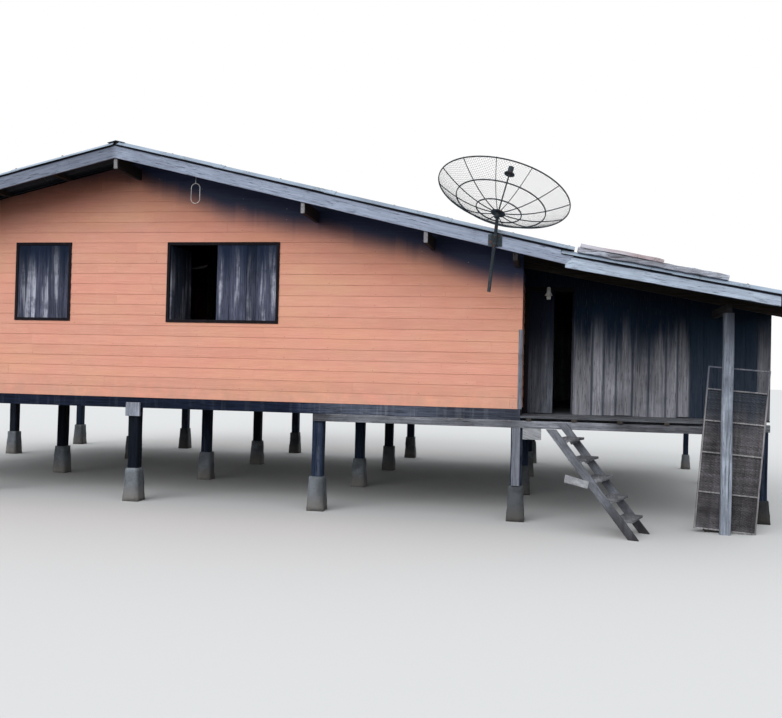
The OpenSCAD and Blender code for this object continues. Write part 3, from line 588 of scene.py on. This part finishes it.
# The eaves plates are near black: painted shade under the roof.
plate = wood("Plates dark as painted shade", (0.055, 0.05, 0.052), (0.02, 0.018, 0.02), "y")
hewn("long_roof_beams", "long_beams", "grey_timber", roof_beam, (0, 0.9, 0), depth=0.002, edge=0.003)
hewn("eaves_plates", "wall_plates", "grey_timber", plate, (0, 0.9, 0), depth=0.002, edge=0.003)


# ---- Painted walls ----
# Lap boards nailed level to the frame, each lower edge over the top of the board below. They are
# painted in one thin orange coat, which is streaked by rain, dusty low down and worn along the edges.

HALL_PITCH = 13.35
WALL_PEAK_Z = 4.739
WALL_END_X = 5.34
PORCH_BACK_Y = 0.93
WINDOW_LOW_Z, WINDOW_HIGH_Z = 2.40, 3.64
LAP_PITCH, STUD_PITCH = 0.144, 0.62

painted, tree, shader, place = new_material("Orange painted boards", 0.62)
grain = use(tree, sawn, Vector=place, Run=(0.35, 0.35, 9.0), Board=own_shade(tree))
colour = blend(grain["Fibre"], (0.675, 0.293, 0.200), (0.77, 0.352, 0.252))
colour = partly(streaky(place, 1.4, 0.56), 0.08, colour, (0.82, 0.47, 0.37))
colour = partly(patchy(place, 0.9, 0.54, 0.16), 0.25, colour, (0.60, 0.38, 0.29))
# The coat is uneven: here more ochre, there more pink, and worn through to a browner ground.
for at, scale, share, tint in (((3.0, 0.0, 9.0), 1.1, 0.42, (0.74, 0.375, 0.205)),
        ((7.0, 5.0, 1.0), 1.9, 0.34, (0.74, 0.285, 0.225)),
        ((1.0, 8.0, 4.0), 4.2, 0.22, (0.60, 0.235, 0.165))):
    moved = add(tree, "ShaderNodeVectorMath", {0: stretch(place, (0.5, 0.5, 1.3)), 1: at}, operation="ADD")
    colour = partly(patchy(moved.outputs[0], scale, 0.52, 0.13), share, colour, tint)
low_dirt = times(step(split(place)["Z"], 1.85, 1.44), patchy(place, 5.0, 0.48, 0.15))
colour = partly(low_dirt, 0.35, colour, (0.42, 0.26, 0.19))
bare = times(grain["Crack"], patchy(place, 2.2, 0.56, 0.06))
colour = toned(partly(bare, 0.4, colour, (0.36, 0.20, 0.15)), 0.07, 0.965)
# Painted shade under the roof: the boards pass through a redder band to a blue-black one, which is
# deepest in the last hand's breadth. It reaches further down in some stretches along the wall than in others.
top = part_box("front_wall")[1].z
level = calc("ADD", split(fallen(place, 0.0, HALL_PITCH))["Z"],
    step(streaky(place, 5.0, 0.42), 0.0, 1.0, -0.01, 0.02))
level = summed(level, split(place)["X"], ((-3.0, -1.9, 0.24, 0.0), (-1.4, -0.6, -0.10, 0.0),
    (-0.7, 0.5, -0.25, 0.05), (0.7, 1.3, 0.0, 0.08), (2.1, 2.8, 0.0, -0.07), (3.8, 5.0, 0.0, 0.11)))
colour = blend(step(level, top - 1.15, top - 0.45, 0.0, 0.18), colour, (0.45, 0.07, 0.01))
colour = blend(step(level, top - 0.48, top - 0.10), colour, (0.008, 0.016, 0.060))
paint(shader, colour)
emboss(shader, grain["Fibre"], 0.0015)


def placed(given, geometry):
    return geo(geometry.id_data, "Transform", {"Geometry": geometry, "Rotation": given["Turn"],
        "Translation": given["Place"]})


heads_tree, given, out = new_tree("Screw and nail heads", [("Radius", "Float"), ("Rise", "Float"),
    ("Place", "Vector")])
tree = heads_tree
ball = geo(tree, "MeshUVSphere", {"Segments": 8, "Rings": 4, "Radius": 1.0})
driven = on_points(given, ball, Scale=vector(tree, given["Radius"], given["Radius"], given["Rise"]))
put_out(given, out, geo(tree, "SetShadeSmooth", {"Geometry": placed(given, driven)}))

screw, tree, shader, place = new_material("Galvanised heads", 0.55, 0.8)
paint(shader, blend(patchy(place, 30.0, 0.5, 0.1), (0.42, 0.43, 0.44), (0.16, 0.075, 0.04)))

for name, node, side, seed in (("front", "front_wall", "front", 21), ("rear", "rear_wall", "rear", 22),
        ("left", "side_walls", "left", 23), ("return", "side_walls", "right", 24)):
    low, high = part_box(node)
    gable = side in ("front", "rear")
    start, end = (low.x, high.x) if gable else (low.y, PORCH_BACK_Y if name == "return" else high.y)
    lay_boards(name + "_siding", node, "orange_boards", side,
        courses(start, end, low.z, high.z, LAP_PITCH, 4.2, 0.0006, seed), painted, lap=0.0065, uneven=0.001,
        seed=seed)
    # A nail in every board's lower edge at every stud, beside the windows and not in them.
    windows = [(-1.87, -1.01), (0.44, 2.06)] if gable else [(0.97, 1.83), (6.27, 7.13)]
    rng = random.Random(seed)
    nails = []
    for course in range(int((high.z - low.z) / LAP_PITCH) + 1):
        up = low.z + course * LAP_PITCH + 0.022
        for stud in range(int((end - start) / STUD_PITCH) + 1):
            along = start + 0.05 + stud * STUD_PITCH + rng.uniform(-0.012, 0.012)
            from_ridge = abs(along) if gable else WALL_END_X
            roof = WALL_PEAK_Z - from_ridge * math.tan(math.radians(HALL_PITCH))
            if along > end - 0.02 or up > roof - 0.03:
                continue
            if (name != "return" and WINDOW_LOW_Z < up < WINDOW_HIGH_Z
                    and any(a < along < b for a, b in windows)):
                continue
            nails.append({"front": (along, 0.0012, up), "rear": (along, high.y - 0.0012, up),
                "left": (low.x + 0.0012, along, up), "right": (high.x - 0.0012, along, up)}[side])
    turn = Euler((math.radians(90), 0, math.radians(TURNS[side])))
    back = turn.to_matrix().inverted()
    grow(point_piece(name + "_siding_nails", [back @ Vector(at) for at in nails]), heads_tree, "dark_steel",
        Radius=0.0045, Rise=0.0018, Turn=turn, Material=screw)


# ---- Bare plank walls of the lean-to ----
# Upright planks of uneven width, straight from the saw, nailed to rails with open joints. They are
# bleached grey; under the roof they are darker, partly as wood the rain has not reached and partly as
# painted shade.

PLANK_WIDTH = 0.19
PORCH_JOINTS = [6.265, 6.42, 6.585, 6.80, 7.015, 7.24, 7.39, 7.55, 7.72, 7.90, 8.06, 8.25, 8.40]
DOOR_HEAD_JOINTS = [5.52, 5.70, 5.86]


def painted_shade_and_joints(place, colour):
    """The planks past the middle, behind the screen, are painted blue-black as shade, but for the last
    ones. Along the joints all planks are darker: dark joints, with painted shade between the planks."""
    spot = split(place)["X"]
    darkened = calc("SUBTRACT", step(spot, 7.54, 7.56, 0.0, 0.91), step(spot, 8.395, 8.41, 0.0, 0.80))
    for joint in PORCH_JOINTS:
        off = calc("ABSOLUTE", calc("SUBTRACT", spot, joint))
        darkened = calc("MAXIMUM", darkened, step(off, 0.024, 0.005, 0.0, 0.65))
    return blend(darkened, colour, (0.012, 0.024, 0.044))


def planks(edges, low, high, gap, ragged=0.0):
    """Spans of upright planks between the given edges, with uneven lower ends."""
    rng = random.Random(31)
    return [(a + gap / 2, b - gap / 2, low + ragged * rng.random() ** 2, high)
        for a, b in zip(edges[:-1], edges[1:])]


def spaced(start, end, width, seed):
    """Edges of planks from start to end, each about as wide as given."""
    rng = random.Random(seed)
    edges = [start]
    while end - edges[-1] > 1.4 * width:
        edges.append(edges[-1] + width * rng.uniform(0.75, 1.2))
    return edges + [end]


plank_z = wood("Grey upright planks", (0.27, 0.285, 0.325), (0.125, 0.13, 0.15), "z", tone=0.25, streak=0.25)
# The porch planks go near black towards the roof: painted shade, partly also unbleached wood.
porch_z = wood("Porch planks", (0.30, 0.30, 0.335), (0.145, 0.147, 0.17), "z", tone=0.28, streak=0.2,
    stain=0.45, dark_band=(1.70, 2.58, (0.006, 0.014, 0.030)), over=painted_shade_and_joints)
for name, node, side, joints, gap, ragged, material, seed in (
        ("porch_planks", "porch_wall", "front", PORCH_JOINTS, 0.0034, 0.022, porch_z, 29410),
        ("planks_over_door", "door_head_wall", "front", DOOR_HEAD_JOINTS, 0.004, 0.0, porch_z, 32),
        ("lean_to_side_planks", "lean_side_wall", "right", None, 0.0001, 0.0, plank_z, 33),
        ("lean_to_rear_planks", "lean_rear_wall", "rear", None, 0.0001, 0.0, plank_z, 34)):
    low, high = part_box(node)
    start, end = (low.y, high.y) if side == "right" else (low.x, high.x)
    edges = [start, *joints, end] if joints else spaced(start, end, PLANK_WIDTH, seed)
    lay_boards(name, node, "grey_timber", side, planks(edges, low.z, high.z, gap, ragged), material, 0.0215,
        upright=True, uneven=0.003, seed=seed)


# ---- Window frames and shutters ----
# Thin frames of dark wood, and leaves of upright planks without paint. Rain has drawn pale streaks
# down the planks. The left half of the middle window stands open into the hall.

SHUTTER_LOW_Z, SHUTTER_HIGH_Z = 2.4, 3.6
OPEN_SHUTTER_X = 0.502

frame_wood = wood("Dark window frames", (0.016, 0.013, 0.017), (0.006, 0.005, 0.007), "z", relief=0.002)
hewn("dark_window_frames", "window_frames", "dark_timber", frame_wood, (0, 0, 0), depth=0.0, edge=0.002)
# The shutters darken towards their tops: painted shade under the eaves.
shutter_z = wood("Shutter planks", (0.100, 0.108, 0.162), (0.038, 0.043, 0.070), "z", tone=0.25, streak=1.0,
    dark_band=(2.80, 3.50, (0.010, 0.018, 0.040)))
for name, side, start, end, face, seed in (("left_window", "front", -1.83, -1.05, None, 41),
        ("middle_window", "front", 1.17, 2.02, None, 106), ("rear_single", "rear", -1.83, -1.05, None, 43),
        ("rear_double", "rear", 1.17, 2.02, None, 44), ("rear_double_other", "rear", 0.48, 1.166, None, 45),
        ("side_front", "left", 1.01, 1.79, None, 46), ("side_back", "left", 6.31, 7.09, None, 47),
        ("standing_open", "right", 0.022, 0.708, OPEN_SHUTTER_X, 48)):
    edges = spaced(start, end, PLANK_WIDTH, seed)
    lay_boards(name + "_shutter", "shutters", "grey_timber", side,
        planks(edges, SHUTTER_LOW_Z, SHUTTER_HIGH_Z, 0.003), shutter_z, 0.0214, upright=True, uneven=0.002,
        seed=seed, face=face)


# ---- Doorway ----
# A post, a head and a stop of dark wood, and two narrow leaves of planks: the left one is closed and
# the right one stands open into the lean-to.

LEAF_LOW_Z, LEAF_HIGH_Z = 1.36, 3.06
OPEN_LEAF_X = 5.988

hewn("dark_door_frame", "door_frame", "dark_timber", frame_wood, (0, 0, 0), depth=0.0, edge=0.003)
# The leaves darken towards the top: painted shade under the lean-to roof.
door_z = wood("Door planks", (0.13, 0.14, 0.17), (0.055, 0.06, 0.075), "z", tone=0.25, streak=0.2,
    dark_band=(1.60, 2.60, (0.008, 0.011, 0.022)))
for name, side, edges, face, seed in (("closed_door_leaf", "front", [5.40, 5.575, 5.74], None, 51),
        ("open_door_leaf", "left", [0.92, 1.05, 1.20], OPEN_LEAF_X, 52)):
    lay_boards(name, "door_leaves", "grey_timber", side,
        planks(edges, LEAF_LOW_Z, LEAF_HIGH_Z, 0.003), door_z, 0.0214, upright=True, uneven=0.002, seed=seed,
        face=face)


# ---- Roof sheets, ridge caps and barge boards ----
# Corrugated fibre-cement sheets, five waves wide, laid from the eaves up with each sheet over the
# one below and over its neighbour, and held by capped screws through the crests. They have bleached
# to a bluish grey, with dark growth in the troughs and on the laps.

LEAN_PITCH = 10.8
LEAN_CREST_X = 5.96
SHEET_H, SHEET_T = 0.055, 0.006
SHEET_WAVES, SHEET_COLUMNS = 5, 11
END_LAP = 0.14


def thickened(tree, sheet, thickness, seam):
    """A shell with the thickness over a thin sheet, closed all round."""
    top = geo(tree, "ExtrudeMesh", {"Mesh": sheet, "Offset": vector(tree, z=thickness), "Individual": False},
        mode="FACES")
    shell = add(tree, "GeometryNodeJoinGeometry")
    tree.links.new(top, shell.inputs[0])
    tree.links.new(geo(tree, "FlipFaces", {"Mesh": sheet}), shell.inputs[0])
    return geo(tree, "MergeByDistance", {"Geometry": shell.outputs[0], "Distance": seam})


sheets_tree, given, out = new_tree("Corrugated sheets", [("Width", "Float"), ("Facets", "Int"),
    ("Wave", "Float"), ("Rise", "Float"), ("Thickness", "Float"), ("Place", "Vector")])
tree = sheets_tree
flat = geo(tree, "MeshGrid", {"Size X": 1.0, "Size Y": given["Width"], "Vertices X": 2,
    "Vertices Y": given["Facets"]})
spot = split(geo(tree, "InputPosition"))
side = calc("ADD", spot["Y"], times(given["Width"], 0.5))
angle = times(calc("DIVIDE", side, given["Wave"]), 2 * math.pi)
lift = times(calc("SUBTRACT", 1.0, calc("COSINE", angle)), times(given["Rise"], 0.5))
waved = vector(tree, calc("ADD", spot["X"], 0.5), side, lift)
sheet = geo(tree, "SetPosition", {"Geometry": flat, "Position": waved})
laid = on_points(given, thickened(tree, sheet, given["Thickness"], 1e-5),
    Rotation=named(tree, "lean", "FLOAT_VECTOR"), Scale=vector(tree, named(tree, "long"), 1.0, 1.0))
laid = placed(given, shaded(laid))
put_out(given, out, geo(tree, "SetShadeSmooth", {"Geometry": laid}))


def fibre_cement(name, light, dark, growth):
    """Weathered fibre cement, washed pale along the waves, with dark growth and specks. Each sheet has
    its own tone. The undersides are painted near black as shade."""
    material, tree, shader, place = new_material(name, 0.9)
    wash = patchy(stretch(place, (0.25, 1.0, 1.0)), 5.0, 0.5, 0.16)
    speck = speckle(place, 45.0, 6.0)
    moss = times(patchy(place, 2.6, 0.60, 0.07), step(speck, 0.42, 0.58))
    colour = partly(moss, growth, blend(wash, dark, light), (0.07, 0.075, 0.065))
    colour = blend(step(speck, 0.64, 0.72, 0.0, 0.5), colour, tuple(0.6 * c for c in dark))
    # Faces that look downwards are painted near black as shade.
    upward = split(add(tree, "ShaderNodeTexCoord").outputs["Normal"])["Z"]
    colour = blend(step(upward, 0.0, -0.3), toned(colour, 0.30, 0.85), (0.014, 0.016, 0.022))
    paint(shader, colour)
    emboss(shader, speck, 0.002)
    return material


new_cement = fibre_cement("Roof sheets", (0.30, 0.365, 0.45), (0.19, 0.235, 0.30), 0.8)
low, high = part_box("main_roof")
wave = (high.y - low.y) / (SHEET_WAVES * SHEET_COLUMNS)
for name, node, start, end, pitch, turned, rows, seed in (
        ("right_slope", "main_roof", 0.03, LEAN_CREST_X, HALL_PITCH, False, 4, 61),
        ("left_slope", "main_roof", 0.03, LEAN_CREST_X, HALL_PITCH, True, 4, 62),
        ("lean_to_slope", "lean_roof", 5.81, 8.65, LEAN_PITCH, False, 2, 63)):
    low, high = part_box(node)
    slope = math.radians(pitch)
    reach = (end - start) / math.cos(slope) / rows
    turn = Euler((0, slope, math.pi if turned else 0))
    origin = Vector((-start if turned else start, high.y if turned else low.y,
        high.z - SHEET_H * math.cos(slope)))
    rng = random.Random(seed)
    corners, long, lean, tone, crests = [], [], [], [], []
    for column in range(SHEET_COLUMNS):
        for row in range(rows):
            lap = END_LAP if row else 0.0
            corners.append((row * reach - lap, column * SHEET_WAVES * wave, 0.006))
            long.append(reach + lap - rng.uniform(0, 0.006))
            lean.append((-0.006 / (SHEET_WAVES * wave), -math.atan(0.0065 / reach),
                rng.uniform(-0.001, 0.001)))
            tone.append(rng.random())
            crests += [((row + 1) * reach - at, (column * SHEET_WAVES + crest + 0.5) * wave, SHEET_H + 0.009)
                for crest in (0, 2, 4) for at in (0.07, 0.5 * reach)]
    sheets = point_piece(name + "_sheets", corners, long=long, lean=lean, tone=tone)
    grow(sheets, sheets_tree, "roof_sheet", node, Width=SHEET_WAVES * wave + 0.001,
        Facets=12 * SHEET_WAVES + 1, Wave=wave, Rise=SHEET_H - SHEET_T, Thickness=SHEET_T, Turn=turn,
        Place=origin, Material=new_cement)
    sheets.data.set_sharp_from_angle(angle=math.radians(50))
    grow(point_piece(name + "_screws", crests), heads_tree, "dark_steel", Radius=0.015, Rise=0.007, Turn=turn,
        Place=origin, Material=screw)

hewn("ridge_caps", "ridge_cap", "roof_sheet", new_cement, (0, 0.9, 0), depth=0.002, edge=0.003)


def top_shadow_and_left_tone(crest, pitch, top):
    """A painted shadow along the top edge, under the ends of the sheets. The boards left of the ridge
    are darker."""
    def over(place, colour):
        spot = split(fallen(place, crest, pitch))
        left_darker = revalue(colour, step(spot["X"], -0.06, 0.06, 0.62, 1.0))
        return blend(step(spot["Z"], top - 0.022, top - 0.010), left_darker, (0.018, 0.022, 0.035))
    return over


for name, node, slot, label, light, dark, crest, pitch in (
        ("main_barge_boards", "barge_boards", "grey_timber", "Weathered barge boards",
        (0.42, 0.475, 0.61), (0.275, 0.315, 0.415), 0.0, HALL_PITCH),
        ("lean_to_barge_boards", "lean_barge_boards", "pale_timber", "Pale barge boards",
        (0.56, 0.65, 0.785), (0.385, 0.45, 0.56), LEAN_CREST_X, LEAN_PITCH)):
    barge = wood(label, light, dark, "x", tone=0.05, slope=(crest, pitch),
        over=top_shadow_and_left_tone(crest, pitch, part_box(node)[1].z))
    hewn(name, node, slot, barge, (0.5, 0, 0), depth=0.003, edge=0.003)


# ---- Old timbers and a loose sheet on the lean-to ----
# Two old timbers and a broken roof sheet were thrown on the lean-to to hold its sheets down. They
# are bleached nearly white and stained pink by clay dust.

old_wood = wood("Old roof timbers", (0.60, 0.66, 0.78), (0.30, 0.29, 0.33), "x", tone=0.15, stain=0.7)
old_cement = fibre_cement("Old roof sheet", (0.52, 0.53, 0.60), (0.38, 0.29, 0.31), 0.8)
hewn("old_roof_timbers", "old_timbers", "grey_timber", old_wood, (0.05, 0, 0), depth=0.013, edge=0.006,
    size=0.11)
bm = merged("loose_sheet")
cut_up(bm, (0.05, 0, 0))
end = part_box("loose_sheet")[1].x
for v in bm.verts:
    broken = max(0.0, (v.co.x - end + 0.12) / 0.12)
    v.co.x -= 0.10 * broken * (noise.noise(Vector((v.co.y * 9, 0, 3))) + 0.6)
wobble(bm, depth=0.007, size=0.35)
keep(new_piece("broken_loose_sheet", bm, old_cement), "roof_sheet", "loose_sheet")


# ---- Stair ----
# Two slanting boards with treads let in between them on small wedges. They are bleached, worn hollow
# by use, and darker towards the foot.

stair_grey = wood("Stair boards", (0.25, 0.262, 0.30), (0.12, 0.124, 0.145), "x", stain=0.5,
    slope=(4.0, 52.0), dark_band=(0.62, 0.02, (0.045, 0.043, 0.048)))
stair_pale = wood("Stair treads", (0.27, 0.275, 0.30), (0.12, 0.12, 0.13), "y", stain=0.6)
wedge = wood("Stair wedges", (0.50, 0.51, 0.54), (0.26, 0.265, 0.29), "x", stain=0.4, slope=(0.0, 20.0))
hewn("stair_side_boards", "stair_stringers", "grey_timber", stair_grey, (0, 0, 0.12), depth=0.003,
    edge=0.003, size=0.3)
hewn("worn_stair_treads", "stair_treads", "pale_timber", stair_pale, (0.05, 0.05, 0), depth=0.004,
    edge=0.003, size=0.2)
hewn("stair_wedges", "stair_cleats", "grey_timber", wedge, (0, 0, 0), depth=0.0, edge=0.002)


# ---- Leaning screen ----
# A mat of split cane, woven over and under in one layer, is nailed behind a light frame of battens
# and leans against the porch post.

SCREEN_X, SCREEN_Y, SCREEN_LEAN = 7.49, -0.074, math.radians(4)
SCREEN_W, MAT_H, MAT_T = 0.73, 1.74, 0.014
WARP_STEP, WEFT_STEP = 0.026, 0.0155
CANE_BOW, CANE_T = 0.0017, 0.0015

# The battens darken towards the top: painted shade under the lean-to roof.
battens = wood("Screen battens", (0.44, 0.42, 0.43), (0.25, 0.24, 0.25), "z", stain=0.6,
    dark_band=(1.15, 2.15, (0.10, 0.11, 0.145)))
hewn("screen_frame", "screen_battens", "pale_timber", battens, (0.25, 0, 0.25), depth=0.003, edge=0.002,
    size=0.4)

weave_tree, given, out = new_tree("Woven strips", [("Length", "Float"), ("Width", "Float"), ("Cuts", "Int"),
    ("Step", "Float"), ("Bow", "Float"), ("Thickness", "Float")])
tree = weave_tree
strip = geo(tree, "MeshGrid", {"Size X": given["Length"], "Size Y": given["Width"],
    "Vertices X": given["Cuts"], "Vertices Y": 2})
half = vector(tree, times(given["Length"], 0.5))
laid = on_points(given, geo(tree, "Transform", {"Geometry": strip, "Translation": half}),
    Rotation=named(tree, "skew", "FLOAT_VECTOR"))
turns = calc("DIVIDE", split(geo(tree, "InputPosition"))["X"], given["Step"])
turns = calc("ADD", turns, named(tree, "number"))
bow = times(calc("COSINE", times(turns, math.pi)), given["Bow"])
laid = geo(tree, "SetPosition", {"Geometry": laid, "Offset": vector(tree, z=bow)})
shell = shaded(thickened(tree, laid, given["Thickness"], 1e-6))
put_out(given, out, geo(tree, "Transform", {"Geometry": shell, "Rotation": given["Turn"]}))

# The mat darkens above about 1.3 m: painted shade under the lean-to roof.
cane = wood("Split cane", (0.15, 0.142, 0.152), (0.075, 0.070, 0.077), "x", tone=0.38, stain=0.9,
    relief=0.0005, dark_band=(1.05, 1.55, (0.040, 0.046, 0.060)))
stand = Euler((0, SCREEN_LEAN, 0)).to_matrix().to_4x4()
stand.translation = (SCREEN_X, SCREEN_Y + MAT_T / 2, SCREEN_W * math.sin(SCREEN_LEAN))
stand = stand @ Euler((math.radians(90), 0, 0)).to_matrix().to_4x4()
rng = random.Random(81)
for name, length, span, gauge, cut, bow, turn in (
        ("cane_weft", SCREEN_W, MAT_H, WEFT_STEP, WARP_STEP, CANE_BOW, 0),
        ("cane_warp", MAT_H, SCREEN_W, WARP_STEP, WEFT_STEP, -CANE_BOW, 90)):
    count = int(span / gauge)
    sign = -1 if turn else 1
    strips = point_piece(name, [(0, sign * (i + 0.5) * gauge, -0.0008) for i in range(count)],
        number=[float(i) for i in range(count)], tone=[rng.random() for _ in range(count)],
        skew=[(0, 0, rng.uniform(-0.0012, 0.0012)) for _ in range(count)])
    grow(strips, weave_tree, "woven_mat", "screen_mat", Length=length, Width=gauge * 0.93,
        Cuts=int(length / cut * 4) + 1, Step=cut, Bow=bow, Thickness=CANE_T,
        Turn=Euler((0, 0, math.radians(turn))), Material=cane)
    strips.data.transform(stand)


# ---- Dish, mast and brackets ----
# A wire-mesh dish on radial ribs and rings, with its feed on a thin stalk, stands on a tube that is
# clamped to the barge board. All of it is steel under dark paint that rust has started to lift.

DISH_RADIUS, DISH_FOCUS = 0.815, 0.63
DISH_HUB = (5.0474, -0.811, 3.831)
DISH_TILT, DISH_TURN = math.radians(22), math.radians(55)
RIB_HEIGHT = 0.0135

steel, tree, shader, place = new_material("Dark painted steel", 0.5, 0.3)
shader["Specular IOR Level"].default_value = 0.2
rust = patchy(place, 14.0, 0.64, 0.05)
colour = blend(patchy(place, 60.0, 0.5, 0.15), (0.016, 0.024, 0.032), (0.040, 0.055, 0.066))
paint(shader, blend(rust, colour, (0.13, 0.06, 0.035)))
tree.links.new(step(rust, 0.0, 1.0, 0.45, 0.85), shader["Roughness"])
emboss(shader, rust, 0.0008)
for name, node in (("dish_ribs_and_rings", "dish_frame"), ("dish_mast_tube", "dish_mast"),
        ("dish_feed_horn", "dish_feed"), ("mast_brackets", "mast_clamps")):
    keep(new_piece(name, merged(node), steel, sharp=35), "dark_steel", node)

netting_tree, given, out = new_tree("Wire netting on a bowl", [("Radius", "Float"), ("Focus", "Float"),
    ("Wires", "Int"), ("Gauge", "Float"), ("Place", "Vector")])
tree = netting_tree
wide = times(given["Radius"], 2.0)
net = geo(tree, "MeshGrid", {"Size X": wide, "Size Y": wide, "Vertices X": given["Wires"],
    "Vertices Y": given["Wires"]})
spot = geo(tree, "InputPosition")
out_r = add(tree, "ShaderNodeVectorMath", {0: spot}, operation="LENGTH").outputs["Value"]
outside = calc("GREATER_THAN", out_r, times(given["Radius"], 1.03))
net = geo(tree, "DeleteGeometry", {"Geometry": net, "Selection": outside})
# The last wires are drawn in to the rim.
kept_r = calc("MINIMUM", out_r, given["Radius"])
drawn_in = calc("DIVIDE", kept_r, calc("MAXIMUM", out_r, 0.001))
drawn_in = add(tree, "ShaderNodeVectorMath", {0: spot, "Scale": drawn_in}, operation="SCALE").outputs[0]
rise = calc("DIVIDE", times(kept_r, kept_r), times(given["Focus"], 4.0))
bowl = geo(tree, "SetPosition", {"Geometry": net, "Position": drawn_in, "Offset": vector(tree, z=rise)})
round_wire = geo(tree, "CurvePrimitiveCircle", {"Resolution": 3, "Radius": given["Gauge"]})
wires = geo(tree, "CurveToMesh", {"Curve": geo(tree, "MeshToCurve", {"Mesh": bowl}),
    "Profile Curve": round_wire, "Fill Caps": True})
put_out(given, out, placed(given, wires))

tilt = Euler((0, DISH_TILT, DISH_TURN))
grow(point_piece("dish_wire_netting", [(0, 0, 0)]), netting_tree, "dark_steel", Radius=DISH_RADIUS,
    Focus=DISH_FOCUS, Wires=67, Gauge=0.0011, Turn=tilt,
    Place=Vector(DISH_HUB) + tilt.to_matrix() @ Vector((0, 0, RIB_HEIGHT)), Material=steel)


# ---- Porch lamp ----
# A small white enamelled shade with its glass bulb, on a short arm over the doorway.

enamel, tree, shader, place = new_material("White enamel", 0.25)
dirt = patchy(place, 18.0, 0.58, 0.12)
paint(shader, blend(dirt, (0.90, 0.91, 0.90), (0.62, 0.59, 0.52)))
keep(new_piece("enamelled_lamp", merged("wall_lamp"), enamel, sharp=50), "lamp_shade", "wall_lamp")


# ---- Wire loop under the eaves ----
# A loop bent from stiff aluminium wire that hangs from a purlin.

dull_wire, tree, shader, place = new_material("Dull aluminium wire", 0.6, 0.2)
film = patchy(place, 40.0, 0.5, 0.15)
paint(shader, blend(film, (0.80, 0.80, 0.78), (0.55, 0.54, 0.52)))
loop = new_piece("bent_wire_loop", merged("wire_loop"), dull_wire)
loop.data.shade_smooth()
keep(loop, "wire", "wire_loop")


# ---- Floor, light and camera ----
# A plain pale floor, an even hazy sky all round and a broad, low sun from the front left. The camera
# stands where the photograph was taken: 11.7 m in front of the gable, at 1.9 m.

def seen_rays(tree):
    """1 for the rays that show the backdrop to the camera, straight or in metal and glass."""
    paths = add(tree, "ShaderNodeLightPath").outputs
    return calc("MAXIMUM", paths["Is Camera Ray"],
        calc("MAXIMUM", paths["Is Glossy Ray"], paths["Is Transmission Ray"]))


def backdrop(tree, output, lit, seen):
    """The shader lit for the rays that light the house, and the shader seen for those of the backdrop."""
    mixed = add(tree, "ShaderNodeMixShader", {0: seen_rays(tree), 1: lit, 2: seen}).outputs[0]
    tree.links.new(mixed, tree.nodes[output].inputs["Surface"])


ground = bpy.data.materials.new("Pale floor")
ground.use_nodes = True
tree = ground.node_tree
tree.nodes.remove(tree.nodes["Principled BSDF"])
dim, pale = (add(tree, "ShaderNodeBsdfDiffuse", {"Color": (grey, grey, grey, 1)}).outputs[0]
    for grey in (0.05, 0.60))
backdrop(tree, "Material Output", dim, pale)
bm = bmesh.new()
bmesh.ops.create_grid(bm, x_segments=1, y_segments=1, size=200)
new_piece("floor", bm, ground)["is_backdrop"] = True

world = bpy.data.worlds.new("Hazy sky")
world.use_nodes = True
bpy.context.scene.world = world
tree = world.node_tree
sky = tree.nodes["Background"]
sky.inputs["Color"].default_value = (0.95, 0.98, 1.0, 1)
sky.inputs["Strength"].default_value = 1.15
white = add(tree, "ShaderNodeBackground", {"Color": (1, 1, 1, 1), "Strength": 1.0}).outputs[0]
backdrop(tree, "World Output", sky.outputs[0], white)

sun = bpy.data.objects.new("sun", bpy.data.lights.new("sun", "SUN"))
sun.data.energy = 1.6
sun.data.angle = math.radians(46)
sun.rotation_euler = Vector((0.30, 0.84, -0.44)).to_track_quat("-Z", "Y").to_euler()
bpy.context.collection.objects.link(sun)

PHOTO_WIDTH, PHOTO_FOCAL = 782, 900
yaw, pitch, roll = math.radians(-10.36), math.radians(0.82), math.radians(1.39)
ahead = Vector((math.sin(yaw) * math.cos(pitch), math.cos(yaw) * math.cos(pitch), math.sin(pitch)))
level = Vector((math.cos(yaw), -math.sin(yaw), 0))
upright = level.cross(ahead)
right = math.cos(roll) * level + math.sin(roll) * upright
up = math.cos(roll) * upright - math.sin(roll) * level
camera = bpy.data.objects.new("camera", bpy.data.cameras.new("camera"))
camera.data.sensor_width = 36.0
camera.data.lens = PHOTO_FOCAL / PHOTO_WIDTH * camera.data.sensor_width
camera.data.clip_end = 500
camera.matrix_world = Matrix((right, up, -ahead)).transposed().to_4x4()
camera.location = (5.771, -11.715, 1.885)
bpy.context.collection.objects.link(camera)
bpy.context.scene.camera = camera
bpy.context.scene.view_settings.view_transform = "Standard"

low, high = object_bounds()
